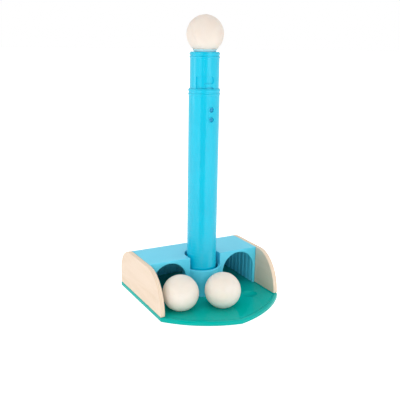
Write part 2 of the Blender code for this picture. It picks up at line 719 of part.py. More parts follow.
def build_screws():
    screws = []
    upward = screw_profile(BASE_SCREW_LENGTH)
    for prefix, places in (("housing_screw_", HOUSING_SCREWS), ("panel_base_screw_",
                                                               PANEL_BASE_SCREWS)):
        for name, (x, y) in places.items():
            screws.append(add_turned(prefix + name, upward, STEEL, (x, y, BASE_SCREW_HEAD_Z),
                                     segments=SCREW_SEGMENTS))
    sideways = screw_profile(SIDE_SCREW_LENGTH)
    start = HOUSING_HALF_WIDTH - HOUSING_WALL - GAP - SCREW_HEAD_HEIGHT
    for name, (side, y, z) in PANEL_SIDE_SCREWS.items():
        screws.append(add_turned("panel_side_screw_" + name, sideways, STEEL, (side * start, y, z),
                                 (0.0, side * math.pi / 2.0, 0.0), SCREW_SEGMENTS))
    return screws


# ---------------------------------------------------------------- assembly

def add_empty(name, location, parent=None):
    empty = bpy.data.objects.new(name, None)
    PARTS.objects.link(empty)
    empty.empty_display_size = 0.02
    empty.location = location
    empty.parent = parent
    return empty


def attach(objects, empty, origin):
    """Parents objects to an empty at origin, keeping the places they were built in."""
    for obj in objects:
        obj.parent = empty
        obj.location = [obj.location[axis] - origin[axis] for axis in range(3)]


def build_batting_tee():
    origin = (0.0, 0.0, 0.0)
    axis = (0.0, POST_Y, 0.0)
    root = add_empty("base_frame", origin)
    panels = [build_panel("side_panel_left", -1.0), build_panel("side_panel_right", 1.0)]
    tee_ball, stored = build_balls()
    attach([build_tray(), build_housing(), *panels, *build_feet(), *build_screws(), *stored],
           root, origin)
    post_slide = add_empty("post_slide", axis, root)
    attach([build_post(), build_plug(), *build_pegs()], post_slide, axis)
    extension_slide = add_empty("extension_slide", origin, post_slide)
    attach([build_extension(), build_cup(), tee_ball], extension_slide, axis)


build_batting_tee()
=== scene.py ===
"""Looks of the batting tee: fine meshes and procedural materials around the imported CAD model.

Units are metres, in the CAD model's frame: +Z up, the front towards -Y, the floor at Z = 0.
Places and main sizes are read from the CAD nodes; the constants below are the details' own sizes.
"""

import math
from contextlib import contextmanager

import bmesh
import bpy
import numpy as np
from mathutils import Matrix, Vector
from mathutils.kdtree import KDTree


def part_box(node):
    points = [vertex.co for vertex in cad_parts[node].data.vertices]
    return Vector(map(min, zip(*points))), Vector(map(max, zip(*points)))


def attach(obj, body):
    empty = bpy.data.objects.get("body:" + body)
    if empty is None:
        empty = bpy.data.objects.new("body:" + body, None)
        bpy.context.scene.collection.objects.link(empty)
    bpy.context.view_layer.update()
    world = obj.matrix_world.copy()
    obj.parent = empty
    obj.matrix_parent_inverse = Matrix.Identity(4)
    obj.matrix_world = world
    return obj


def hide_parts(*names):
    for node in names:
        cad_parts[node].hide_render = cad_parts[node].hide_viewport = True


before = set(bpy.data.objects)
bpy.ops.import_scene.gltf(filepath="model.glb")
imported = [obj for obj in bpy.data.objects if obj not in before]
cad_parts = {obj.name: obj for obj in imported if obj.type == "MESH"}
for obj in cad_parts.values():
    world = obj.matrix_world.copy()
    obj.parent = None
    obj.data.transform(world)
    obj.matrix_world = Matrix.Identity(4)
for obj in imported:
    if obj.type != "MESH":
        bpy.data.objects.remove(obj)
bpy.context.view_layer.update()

GAP = 0.0003                    # between pieces that meet
CUP_GAP = 0.0001                # between the cup and the tube or the ball
UNDER = -0.010                  # cutters for the base start here or lower, below everything
CLEAR = 0.120                   # and end here, above the housing
NEAR = 0.00005                  # a point this close to a line of the housing lies on it

TRAY_LOW, TRAY_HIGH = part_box("tray")
HOUSING_LOW, HOUSING_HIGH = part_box("housing")
PANEL_LOW, PANEL_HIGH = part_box("side_panel_right")
POST_LOW, POST_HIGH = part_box("post_tube")
EXT_LOW, EXT_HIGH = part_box("extension_tube")
CUP_LOW, CUP_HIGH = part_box("ball_cup")
POST_Y = (EXT_LOW.y + EXT_HIGH.y) / 2.0

TRAY_CORNER_Y = -0.063          # where a straight side meets a front edge
TRAY_ARC_SAGITTA = 0.0128
TRAY_FLOOR_Z = HOUSING_LOW.z - GAP
TRAY_PLATE = 0.0026
TRAY_WALL = 0.0028
TRAY_RIM = 0.0070
TRAY_CHANNEL = 0.0008           # depth of the narrow channel inside the rim
TRAY_LEDGE_X = 0.0090           # ledge that carries a panel, from the tray's side
TRAY_LEDGE_Y = 0.0025
TRAY_RIB = 0.0018
TRAY_RIB_ROWS = (-0.040, 0.023, 0.080)
DIMPLE_DEPTH = 0.0034
DIMPLE_PAD = 0.0190
DIMPLE_EASE = 0.0016            # radius of a dimple's rounded edge
FOOT_RING = 0.0100

HOUSING_FRONT_Y = 0.0063        # the flat front wall, behind the collar's bulge
REAR_ARC_Y = 0.087              # centre of the rear rounding of housing and panels
HOUSING_WALL = 0.0028
BAY_X = 0.0783
BAY_RADIUS = 0.0362
BAY_SPRING_Z = 0.0453
BAY_EASE = 0.0018
WALL_RIB_PITCH = 0.0142
WALL_RIB_WIDTH = 0.0070
WALL_RIB_DEPTH = 0.0015
WALL_RIB_TOP_Z = 0.0450
COLLAR_OUTER = POST_Y - HOUSING_LOW.y
COLLAR_BORE = 0.0340
COLLAR_LIP_Z = 0.0630
COLLAR_STEP_Z = 0.0400
LIP_DROP = 0.0002               # the lip lies this much below the collar's shoulders
COLLAR_EASE = 0.0010
GUIDE_BORE = 0.0298
GUIDE_WALL = 0.0024
CELL_TOP_Z = 0.0380
CELL_OUTER = 0.0358
COLLAR_BOSS = 0.0042
REAR_BOSS = 0.0055
REAR_BOSS_TOP_Z = 0.0300

PANEL_CREST_Y = 0.0010          # where a panel's front curve reaches its top
PANEL_ARC_RADIUS = PANEL_HIGH.y - REAR_ARC_Y
PANEL_EASE = 0.0012

POST_OUTER = 0.0294
POST_INNER = 0.0279
POST_BEADS_Z = (0.4116, 0.4046)
POST_BEAD_HALF = 0.0018
POST_RING_TOP_Z = EXT_LOW.z
POST_RING_PITCH = 0.0065
POST_RING_DEPTH = 0.00022
NOTCH_PITCH = 0.0184
PEG_HOLE = 0.0046
PEG_RADIUS = 0.0043
PEG_PIN = 0.0019
PEG_BOSS = 0.0062
PEG_FACE = 0.0300
LOCK_MARKS = (("upper", 128.0, 62.0), ("upper", 52.0, 44.0), ("lower", 142.0, 118.0))
LOCK_MARK_RADIUS = 0.0100       # of the raised bars round the pegs

EXT_OUTER = 0.0276
EXT_INNER = 0.0250
EXT_BEADS_Z = (0.4780, 0.4720)
EXT_BEAD_HALF = 0.0016
EXT_FLANGE = 0.0026
EXT_HOLE = 0.0174
GROOVE_DEPTH = 0.0019
GROOVE_SLOPE = 0.0002           # how far the groove's sides lean in over its depth
GROOVE_TOP_Z = 0.4376
GROOVE_NOTCHES = 9
NOTCH_HEIGHT = 0.0136
CHANNEL_ANGLES = (-152.0, -119.0)
NOTCH_END_ANGLE = -79.4
STRIP_ANGLE = 2.5               # the groove's cutter bends in steps of this many degrees

BALL_RADIUS = 0.0350
BALL_WALL = 0.0025
SCREW_HEAD = 0.0020             # height of a screw's head
SCREW_HOLE = 0.0020
SCREW_PAD = 0.0065
SCREW_POCKET = 0.0038
SCREW_POCKET_TOP_Z = 0.0036
SCREW_HOLE_TOP_Z = 0.0260

FINE = 96                       # segments of a large round piece
SMALL = 32                      # segments of a small round piece


# ---- outlines

def arc(centre, radius_x, radius_y, start, end, steps):
    """Points of a circle or ellipse between two angles in degrees, both ends included."""
    points = []
    for index in range(steps + 1):
        angle = math.radians(start + (end - start) * index / steps)
        points.append((centre[0] + radius_x * math.cos(angle),
                       centre[1] + radius_y * math.sin(angle)))
    return points


def circle(centre, radius, segments=SMALL):
    """Points of a full circle, each one once."""
    return arc(centre, radius, radius, 0.0, 360.0, segments)[:-1]


def rounded(corners, steps=5):
    """Turns (x, y, radius) corners into points, with an arc in place of each rounded corner."""
    points = []
    count = len(corners)
    for index, (x, y, *rest) in enumerate(corners):
        if not rest or rest[0] == 0.0:
            points.append((x, y))
            continue
        radius = rest[0]
        here = Vector((x, y))
        before = (Vector(corners[index - 1][:2]) - here).normalized()
        after = (Vector(corners[(index + 1) % count][:2]) - here).normalized()
        half = before.angle(after) / 2.0
        centre = here + (before + after).normalized() * (radius / math.sin(half))
        start = here + before * (radius / math.tan(half)) - centre
        end = here + after * (radius / math.tan(half)) - centre
        first = math.degrees(math.atan2(start.y, start.x))
        sweep = math.remainder(math.degrees(math.atan2(end.y, end.x)) - first, 360.0)
        points += arc(centre, radius, radius, first, first + sweep, steps)
    return points


def bead(height, base, crest, half, steps=8):
    """Profile of a bead, a little squarer than half round, from its top down."""
    points = []
    for index in range(steps + 1):
        angle = math.pi * index / steps
        points.append((base + (crest - base) * math.sin(angle) ** 0.8,
                       height + half * math.cos(angle)))
    return points


# ---- meshes

def add_object(data, name="part"):
    obj = bpy.data.objects.new(name, data)
    bpy.context.scene.collection.objects.link(obj)
    return obj


@contextmanager
def editing(mesh):
    """A bmesh of the mesh, written back when the block ends."""
    shape = bmesh.new()
    shape.from_mesh(mesh)
    yield shape
    shape.to_mesh(mesh)
    shape.free()


def turn_outwards(shape):
    """Points every face of a closed bmesh outwards."""
    bmesh.ops.recalc_face_normals(shape, faces=shape.faces)
    if shape.calc_volume(signed=True) < 0.0:
        bmesh.ops.reverse_faces(shape, faces=shape.faces)


def add_mesh(vertices, faces, name="part"):
    """A linked mesh object, with doubled vertices merged and its faces turned outwards."""
    mesh = bpy.data.meshes.new(name)
    mesh.from_pydata([tuple(vertex) for vertex in vertices], [], faces)
    with editing(mesh) as shape:
        bmesh.ops.remove_doubles(shape, verts=shape.verts, dist=1e-7)
        turn_outwards(shape)
    return add_object(mesh, name)


def loft(loops, capped=True):
    """Skins a list of closed loops that have the same number of points."""
    count = len(loops[0])
    vertices = [point for loop in loops for point in loop]
    faces = []
    for row in range(len(loops) - 1):
        for index in range(count):
            following = (index + 1) % count
            faces.append((row * count + index, row * count + following,
                          (row + 1) * count + following, (row + 1) * count + index))
    if capped:
        faces.append(tuple(range(count)))
        faces.append(tuple((len(loops) - 1) * count + index for index in range(count)))
    return add_mesh(vertices, faces)


PLANES = {
    "XY": lambda u, v, w: (u, v, w),
    "YZ": lambda u, v, w: (w, u, v),
    "XZ": lambda u, v, w: (u, w, v),
}


def prism(outline, low, high, plane="XY"):
    """An outline drawn in one of the frame's planes, extruded between two distances from it."""
    place = PLANES[plane]
    return loft([[place(u, v, w) for u, v in outline] for w in (low, high)])


def turned(profile, segments=FINE, closed=True, centre=(0.0, POST_Y, 0.0)):
    """Turns (radius, height) points about an upright axis; an open profile ends on the axis."""
    loops = [[(x, y, centre[2] + height) for x, y in circle(centre, radius, segments)]
             for radius, height in profile]
    if closed:
        loops.append(loops[0])
    return loft(loops, capped=False)


def join(objects):
    """Joins meshes into one object."""
    mesh = bpy.data.meshes.new("part")
    with editing(mesh) as shape:
        for obj in objects:
            shape.from_mesh(obj.data)
            bpy.data.objects.remove(obj, do_unlink=True)
    return add_object(mesh)


def boxes(*corners):
    """One mesh of separate boxes, each given by its lowest and highest corner."""
    made = []
    for low, high in corners:
        outline = [(low[0], low[1]), (high[0], low[1]), (high[0], high[1]), (low[0], high[1])]
        made.append(prism(outline, low[2], high[2]))
    return join(made)


def columns(places, radius, low, high, segments=SMALL):
    """One mesh of separate upright cylinders at the given XY places."""
    return join([prism(circle(place, radius, segments), low, high) for place in places])


def combine(target, tool, operation="DIFFERENCE"):
    """Applies an exact Boolean to target and removes the tool."""
    boolean = target.modifiers.new("combine", "BOOLEAN")
    boolean.operation = operation
    boolean.solver = "EXACT"
    boolean.object = tool
    bpy.context.view_layer.update()
    graph = bpy.context.evaluated_depsgraph_get()
    mesh = bpy.data.meshes.new_from_object(target.evaluated_get(graph))
    target.modifiers.clear()
    target.data = mesh
    bpy.data.objects.remove(tool, do_unlink=True)


def clean(obj, within=0.00001):
    """Removes what a run of Booleans leaves: doubled points and faces without area."""
    with editing(obj.data) as shape:
        bmesh.ops.remove_doubles(shape, verts=shape.verts, dist=within)
        bmesh.ops.dissolve_degenerate(shape, edges=shape.edges, dist=within)
        bmesh.ops.dissolve_limit(shape, angle_limit=math.radians(0.2), verts=shape.verts,
                                 edges=shape.edges)


def ease_edges(obj, chosen, width, segments=4, least_angle=30.0, clamped=True):
    """Rounds the sharp edges whose two ends both satisfy chosen."""
    least = math.radians(least_angle)
    with editing(obj.data) as shape:
        edges = [edge for edge in shape.edges
                 if len(edge.link_faces) == 2 and edge.calc_face_angle(0.0) > least
                 and all(chosen(vertex.co) for vertex in edge.verts)]
        bmesh.ops.bevel(shape, geom=edges, offset=width, offset_type="OFFSET",
                        segments=segments, profile=0.5, affect="EDGES", clamp_overlap=clamped)


def finish_piece(obj, name, material, body, node, sharp=32.0):
    """Names and smooths a piece, gives it its look and body, and hides the CAD node it replaces.
    """
    obj.name = name
    obj.data.shade_smooth()
    obj.data.set_sharp_from_angle(angle=math.radians(sharp))
    weighted = obj.modifiers.new("weighted_normals", "WEIGHTED_NORMAL")
    weighted.keep_sharp = True
    obj.data.materials.clear()
    obj.data.materials.append(material)
    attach(obj, body)
    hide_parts(node)


# ---- places read from the CAD nodes

def middle(node):
    low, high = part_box(node)
    return (low + high) / 2.0


def middle_radius(node):
    """Half the width of a round CAD node."""
    low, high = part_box(node)
    return (high.x - low.x) / 2.0


def nodes_of(*prefixes):
    """The CAD nodes whose names start with one of the prefixes."""
    return [node for node in sorted(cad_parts) if node.startswith(prefixes)]


def places_of(prefix):
    """XY places of the CAD nodes whose names start with a prefix."""
    return [tuple(middle(node).xy) for node in nodes_of(prefix)]


LEFT_BALL = middle("stored_ball_left")
CENTER_BALL = middle("stored_ball_center")
TEE_BALL = middle("tee_ball")
DIMPLES = [LEFT_BALL.xy, CENTER_BALL.xy, Vector((-LEFT_BALL.x, LEFT_BALL.y))]
FEET = places_of("foot_")
HOUSING_SCREWS = places_of("housing_screw_")
PANEL_BASE_SCREWS = places_of("panel_base_screw_")
BASE_SCREWS = HOUSING_SCREWS + PANEL_BASE_SCREWS
REAR_SCREWS = places_of("housing_screw_rear")
COLLAR_SCREWS = [place for place in HOUSING_SCREWS if place not in REAR_SCREWS]
SIDE_SCREWS = [middle(node) for node in nodes_of("panel_side_screw_")]


# ---- tray and feet

def front_edge_circle():
    """Centre and radius of the right front edge's circle, from its chord and sagitta."""
    run = TRAY_HIGH.x
    rise = TRAY_CORNER_Y - TRAY_LOW.y
    chord = math.hypot(run, rise)
    radius = (chord * chord / 4.0 + TRAY_ARC_SAGITTA ** 2) / (2.0 * TRAY_ARC_SAGITTA)
    back = radius - TRAY_ARC_SAGITTA
    centre_x = run / 2.0 - back * rise / chord
    centre_y = (TRAY_LOW.y + TRAY_CORNER_Y) / 2.0 + back * run / chord
    return centre_x, centre_y, radius


def home_plate(front_inset, side_inset, back_inset, corner=0.0025, steps=28):
    """The tray's outline from above, moved inwards, with its five corners rounded."""
    centre_x, centre_y, radius = front_edge_circle()
    radius -= front_inset
    side = TRAY_HIGH.x - side_inset
    tip_angle = math.degrees(math.acos(-centre_x / radius))
    corner_angle = math.degrees(math.acos((side - centre_x) / radius))
    right = arc((centre_x, centre_y), radius, radius, -tip_angle, -corner_angle, steps)
    right.append((side, TRAY_HIGH.y - back_inset))
    outline = right + [(-x, y) for x, y in reversed(right[1:])]
    corners = (0, steps, steps + 1, steps + 2, steps + 3)
    return rounded([(x, y, corner if index in corners else 0.0)
                    for index, (x, y) in enumerate(outline)])


def tray_loops():
    """Sections of the tray from its lower edge, over the rim, to the floor inside it."""
    low, top = TRAY_LOW.z, TRAY_HIGH.z
    front_ease, side_ease, foot_ease = 0.0030, 0.0008, 0.0004
    rows = [(foot_ease, foot_ease, low), (0.0, 0.0, low + foot_ease)]
    for step in range(7):
        angle = math.radians(15.0 * step)
        rows.append((front_ease * (1.0 - math.cos(angle)), side_ease * (1.0 - math.cos(angle)),
                     top - front_ease * (1.0 - math.sin(angle))))
    slope, ledge_slope = 0.0014, 0.0005
    for step in range(9):
        fall = step / 8.0
        rows.append((TRAY_RIM - slope * (1.0 - fall), TRAY_LEDGE_X - ledge_slope * (1.0 - fall),
                     TRAY_FLOOR_Z + (top - TRAY_FLOOR_Z) * (0.5 + 0.5 * math.cos(math.pi * fall))))
    channel = ((0.0002, 0.5), (0.0006, 1.0), (0.0014, 1.0), (0.0018, 0.5), (0.0020, 0.0))
    for inwards, depth in channel:
        rows.append((TRAY_RIM + inwards, TRAY_LEDGE_X + inwards,
                     TRAY_FLOOR_Z - depth * TRAY_CHANNEL))
    loops = []
    for front, side, height in rows:
        back = side if side <= side_ease else side - TRAY_LEDGE_X + TRAY_LEDGE_Y
        corner = max(0.0030 - 0.3 * front, 0.0010)
        loops.append([(x, y, height) for x, y in home_plate(front, side, back, corner)])
    return loops


def tray_underside():
    """The hollow under the tray's plate, around the ribs, foot rings and screw pads."""
    top = TRAY_FLOOR_Z - TRAY_PLATE
    hollow = prism(home_plate(TRAY_WALL, TRAY_WALL, TRAY_WALL), UNDER, top)
    half = TRAY_RIB / 2.0
    reach = 2.0 * TRAY_HIGH.x
    rows = [((-reach, y - half, 2 * UNDER), (reach, y + half, 2 * top)) for y in TRAY_RIB_ROWS]
    ribs = [((x - half, -reach, 2 * UNDER), (x + half, reach, 2 * top))
            for x in (-BAY_X, 0.0, BAY_X)]
    combine(hollow, boxes(*rows))
    combine(hollow, boxes(*ribs))
    for places, radius in ((DIMPLES, DIMPLE_PAD), (FEET, FOOT_RING), (BASE_SCREWS, SCREW_PAD)):
        combine(hollow, columns(places, radius, 2 * UNDER, 2 * top))
    return hollow


def dimple_cutter(place):
    """The ball's sphere, flared where it meets the floor so that the dimple's edge is round."""
    radius = BALL_RADIUS + GAP
    height = TRAY_FLOOR_Z - DIMPLE_DEPTH + radius
    across = math.acos((height - TRAY_FLOOR_Z + DIMPLE_EASE) / (radius + DIMPLE_EASE))
    ease_radius = (radius + DIMPLE_EASE) * math.sin(across)
    angles = [across * step / 12.0 for step in range(13)]
    bowl = [(radius * math.sin(angle), height - radius * math.cos(angle)) for angle in angles]
    last = 0.06                 # slope left at the floor, so that the cut stays clean
    edge = []
    for step in range(1, 7):
        angle = across + (last - across) * step / 6.0
        edge.append((ease_radius - DIMPLE_EASE * math.sin(angle),
                     TRAY_FLOOR_Z - DIMPLE_EASE + DIMPLE_EASE * math.cos(angle)))
    wide = edge[-1][0] + 0.0006
    tops = [(wide, edge[-1][1] + 0.0006 * math.tan(last)), (wide, CLEAR), (0.0, CLEAR)]
    return turned(bowl + edge + tops, closed=False, centre=(*place, 0.0))


def build_tray():
    tray = loft(tray_loops())
    combine(tray, tray_underside())
    for place in DIMPLES:
        combine(tray, dimple_cutter(place))
    pocket = middle_radius("foot_front") + GAP
    combine(tray, columns(FEET, pocket, UNDER, TRAY_FLOOR_Z - TRAY_PLATE))
    combine(tray, columns(BASE_SCREWS, SCREW_POCKET, UNDER, SCREW_POCKET_TOP_Z))
    combine(tray, columns(BASE_SCREWS, SCREW_HOLE, UNDER, CLEAR))
    finish_piece(tray, "tray_moulding", TRAY_PLASTIC, "base", "tray", 40.0)


def build_feet():
    """Rubber buttons with a ring groove in the sole."""
    radius = middle_radius("foot_front")
    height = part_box("foot_front")[1].z
    ease = 0.0010
    profile = [(0.0, height), (radius - ease / 2.0, height), (radius, height - ease / 2.0),
               (radius, ease)]
    profile += arc((radius - ease, ease), ease, ease, 0.0, -90.0, 4)
    profile += [(radius * 0.62, 0.0), (radius * 0.58, 0.0005), (radius * 0.50, 0.0005),
                (radius * 0.46, 0.0), (0.0, 0.0)]
    for node in nodes_of("foot_"):
        place = middle(node)
        foot = turned(profile, SMALL, False, (place.x, place.y, 0.0))
        finish_piece(foot, node + "_rubber", RUBBER, "base", node)


# ---- housing

def housing_outline(inset, bottom):
    """Side view of the housing: straight front and top, and a rounded rear edge."""
    front = HOUSING_FRONT_Y + inset
    turn = HOUSING_HIGH.y - REAR_ARC_Y
    rear = arc((REAR_ARC_Y, HOUSING_HIGH.z - turn), turn - inset, turn - inset, 0.0, 90.0, 24)
    return [(front, bottom), (HOUSING_HIGH.y - inset, bottom), *rear,
            (front, HOUSING_HIGH.z - inset)]


def rib_outline(low, high, ease=0.0007):
    return rounded([(low[0], low[1], ease), (high[0], low[1], ease), (high[0], high[1], ease),
                    (low[0], high[1], ease)], steps=3)


def wall_ribs():
    """Flat vertical ribs that stand proud of the back wall and of both side walls."""
    half = WALL_RIB_WIDTH / 2.0
    back = HOUSING_HIGH.y
    ribs = []
    for index in range(-7, 8):
        x = index * WALL_RIB_PITCH
        outline = rib_outline((x - half, back - HOUSING_WALL - WALL_RIB_DEPTH), (x + half, back))
        ribs.append(prism(outline, 3 * UNDER, WALL_RIB_TOP_Z))
    wide = HOUSING_HIGH.x
    inner = wide - HOUSING_WALL - WALL_RIB_DEPTH
    for index in range(7):
        y = POST_Y + index * WALL_RIB_PITCH
        for low, high in ((-wide, -inner), (inner, wide)):
            ribs.append(prism(rib_outline((low, y - half), (high, y + half)), 3 * UNDER, CLEAR))
    return join(ribs)


def housing_room():
    """The room inside the shell, around the collar, the screw bosses and the wall ribs."""
    inner = HOUSING_HIGH.x - HOUSING_WALL
    room = prism(housing_outline(HOUSING_WALL, 2 * UNDER), -inner, inner, "YZ")
    combine(room, columns([(0.0, POST_Y)], COLLAR_OUTER, 3 * UNDER, CLEAR, FINE))
    combine(room, wall_ribs())
    combine(room, columns(REAR_SCREWS, REAR_BOSS, 3 * UNDER, REAR_BOSS_TOP_Z))
    return room


def collar_room():
    """The wide bore of the collar, opened to the front above the collar's lip."""
    ring = circle((0.0, POST_Y), COLLAR_BORE, FINE)
    reach = 2.0 * COLLAR_OUTER
    path = 2.0 * reach + 2.0 * COLLAR_BORE
    mouth = []
    for index, (x, y) in enumerate(ring):
        along = path * (index - FINE // 2) / (FINE // 2)
        if along <= 0.0:
            mouth.append((x, y))
        elif along <= reach:
            mouth.append((-COLLAR_BORE, POST_Y - along))
        elif along < reach + 2.0 * COLLAR_BORE:
            mouth.append((along - reach - COLLAR_BORE, POST_Y - reach))
        else:
            mouth.append((COLLAR_BORE, POST_Y - path + along))
    lip = COLLAR_LIP_Z - LIP_DROP
    sections = ((ring, COLLAR_STEP_Z), (ring, lip), (mouth, lip), (mouth, CLEAR))
    return loft([[(x, y, height) for x, y in outline] for outline, height in sections])


def collar_front():
    """The part of the collar that stands proud of the front wall."""
    back = HOUSING_FRONT_Y + HOUSING_WALL / 2.0
    half = math.degrees(math.acos((POST_Y - back) / COLLAR_OUTER))
    outline = arc((0.0, POST_Y), COLLAR_OUTER, COLLAR_OUTER, -90.0 - half, -90.0 + half, 36)
    return prism(outline, 1.5 * UNDER, COLLAR_LIP_Z)


def guide_cells():
    """Hollow cells between the guide sleeve and the collar, around its screw bosses."""
    inner = GUIDE_BORE + GUIDE_WALL
    cells = turned([(CELL_OUTER, CELL_TOP_Z), (CELL_OUTER, 2 * UNDER), (inner, 2 * UNDER),
                    (inner, CELL_TOP_Z)])
    combine(cells, columns(COLLAR_SCREWS, COLLAR_BOSS, 3 * UNDER, CLEAR))
    return cells


def bay_arch(x):
    outline = [(x - BAY_RADIUS, 2 * UNDER), (x + BAY_RADIUS, 2 * UNDER)]
    outline += arc((x, BAY_SPRING_Z), BAY_RADIUS, BAY_RADIUS, 0.0, 180.0, 48)
    reach = 1.5 * HOUSING_WALL
    return prism(outline, HOUSING_FRONT_Y - reach, HOUSING_FRONT_Y + reach, "XZ")


def side_holes(start, end):
    """Horizontal holes at the panels' side screws, between two distances from the middle."""
    holes = []
    for place in SIDE_SCREWS:
        low, high = sorted((math.copysign(start, place.x), math.copysign(end, place.x)))
        holes.append(prism(circle((place.y, place.z), SCREW_HOLE), low, high, "YZ"))
    return join(holes)


def near(value, other):
    return abs(value - other) < NEAR


def on_front_edge(point):
    """True on the front wall's outer edges and on the rims of its two bays."""
    from_bay = abs(abs(point.x) - BAY_X)
    if point.z > BAY_SPRING_Z:
        from_bay = math.hypot(from_bay, point.z - BAY_SPRING_Z)
    return near(point.y, HOUSING_FRONT_Y) and (
        near(from_bay, BAY_RADIUS) or near(point.z, HOUSING_HIGH.z)
        or near(abs(point.x), HOUSING_HIGH.x))


def on_collar_edge(point):
    """True on the rims of the collar's bore, of its open mouth and of its lip."""
    at_front = near(point.y, HOUSING_FRONT_Y)
    at_top = near(point.z, HOUSING_HIGH.z)
    at_lip = near(point.z, COLLAR_LIP_Z - LIP_DROP)
    from_post = math.hypot(point.x, point.y - POST_Y)
    mid_lip = at_lip and point.y < POST_Y and abs(point.x) < 0.9 * COLLAR_BORE
    on_bore = near(from_post, COLLAR_BORE) and (at_top or mid_lip)
    on_mouth = near(abs(point.x), COLLAR_BORE) and point.z > COLLAR_LIP_Z - NEAR and \
        (at_front or (at_top and point.y < POST_Y + NEAR))
    return on_bore or on_mouth or (at_lip and near(from_post, COLLAR_OUTER))


def build_housing():
    wide = HOUSING_HIGH.x
    post = [(0.0, POST_Y)]
    housing = prism(housing_outline(0.0, UNDER), -wide, wide, "YZ")
    combine(housing, housing_room())
    combine(housing, collar_front(), "UNION")
    combine(housing, collar_room())
    combine(housing, columns(post, GUIDE_BORE, 2 * UNDER, COLLAR_LIP_Z, FINE))
    combine(housing, guide_cells())
    for x in (-BAY_X, BAY_X):
        combine(housing, bay_arch(x))
    combine(housing, columns(HOUSING_SCREWS, SCREW_HOLE, 2 * UNDER, SCREW_HOLE_TOP_Z))
    combine(housing, side_holes(wide - 2 * HOUSING_WALL, wide + HOUSING_WALL))
    reach = 2 * wide
    combine(housing, boxes(((-reach, -reach, 3 * UNDER), (reach, reach, HOUSING_LOW.z))))
    clean(housing)
    ease_edges(housing, on_front_edge, BAY_EASE)
    ease_edges(housing, on_collar_edge, COLLAR_EASE, clamped=False)
    # the housing's plastic is its own light blue, paled further by painted sheen
    finish_piece(housing, "housing_moulding", HOUSING_PLASTIC_WITH_SHEEN, "base", "housing")


# ---- side panels

def panel_outline():
    """Side view of a panel: a quarter-ellipse front, a flat top and a rounded rear."""
    bottom, top = PANEL_LOW.z, PANEL_HIGH.z
    rear = arc((REAR_ARC_Y, top - PANEL_ARC_RADIUS), PANEL_ARC_RADIUS, PANEL_ARC_RADIUS,
               0.0, 90.0, 32)
    front = arc((PANEL_CREST_Y, bottom), PANEL_CREST_Y - PANEL_LOW.y, top - bottom,
                90.0, 180.0, 48)
    return [(PANEL_HIGH.y, bottom), *rear, *front]


def build_panel(side_name, side):
    """A plywood panel, its edges rounded, with its faces and its edges as two materials."""
    inner, outer = PANEL_LOW.x, PANEL_HIGH.x
    low, high = sorted((side * inner, side * outer))
    panel = prism(panel_outline(), low, high, "YZ")
    ease_edges(panel, lambda point: True, PANEL_EASE, 4, 50.0)
    base = [place for place in PANEL_BASE_SCREWS if place[0] * side > 0.0]
    combine(panel, columns(base, SCREW_HOLE, UNDER, SCREW_HOLE_TOP_Z))
    combine(panel, side_holes(HOUSING_HIGH.x, inner + 0.8 * (outer - inner)))
    finish_piece(panel, "panel_wood_" + side_name, PLYWOOD_FACE, "base",
                 "side_panel_" + side_name, 45.0)
    panel.data.materials.append(PLYWOOD_EDGE)
    for face in panel.data.polygons:
        face.material_index = 0 if abs(face.normal.x) > 0.8 else 1


# ---- post

def round_pin(profile, height):
    """Turns (radius, distance) points about a line along -Y from the post's axis."""
    pin = turned(profile, 48, False, (0.0, 0.0, 0.0))
    pin.data.transform(Matrix.Translation((0.0, POST_Y, height))
                       @ Matrix.Rotation(math.pi / 2.0, 4, "X"))
    return pin


def peg_boss(height):
    ease = 0.0005
    profile = [(0.0, PEG_FACE), (PEG_BOSS - ease, PEG_FACE)]
    profile += arc((PEG_BOSS - ease, PEG_FACE - ease), ease, ease, 75.0, 0.0, 4)
    profile += [(PEG_BOSS, POST_INNER + 2 * GAP), (0.0, POST_INNER + 2 * GAP)]
    return round_pin(profile, height)


def peg_hole(height):
    ease = 0.0003
    profile = [(0.0, PEG_FACE + 0.002), (PEG_HOLE + ease + 0.002, PEG_FACE + 0.002),
               (PEG_HOLE + ease, PEG_FACE), (PEG_HOLE, PEG_FACE - ease),
               (PEG_HOLE, 0.8 * POST_INNER), (0.0, 0.8 * POST_INNER)]
    return round_pin(profile, height)


def raised_bar(start, end, height, half=0.0005, proud=0.0002):
    """A thin raised bar on the post, bent round a peg; the angles are seen from the front."""
    outside, inside = LOCK_MARK_RADIUS + half, LOCK_MARK_RADIUS - half
    outer = arc((0.0, height), outside, outside, start, end, 16)
    inner = arc((0.0, height), inside, inside, end, start, 16)
    bar = prism(outer + inner, POST_Y - 0.5 * POST_OUTER - POST_INNER,
                POST_Y - 0.5 * POST_OUTER, "XZ")
    skin = POST_OUTER + proud
    wall = POST_INNER + GAP
    sleeve = turned([(skin, height + 0.02), (skin, height - 0.02), (wall, height - 0.02),
                     (wall, height + 0.02)])
    combine(bar, sleeve, "INTERSECT")
    return bar


def post_profile():
    ease = 0.0006
    bottom = POST_LOW.z
    profile = arc((POST_OUTER - ease, POST_HIGH.z - ease), ease, ease, 90.0, 0.0, 4)
    for height in POST_BEADS_Z:
        profile += bead(height, POST_OUTER, middle_radius("post_tube"), POST_BEAD_HALF)
    rings = int((POST_RING_TOP_Z - bottom) / POST_RING_PITCH)
    for index in range(rings):
        height = POST_RING_TOP_Z - index * POST_RING_PITCH
        profile += [(POST_OUTER, height + 0.0006), (POST_OUTER - POST_RING_DEPTH, height),
                    (POST_OUTER, height - 0.0006)]
    profile += [(POST_OUTER, bottom), (POST_INNER, bottom)]
    profile += [(POST_INNER, POST_HIGH.z - ease), (POST_INNER + 0.5 * ease, POST_HIGH.z)]
    return profile


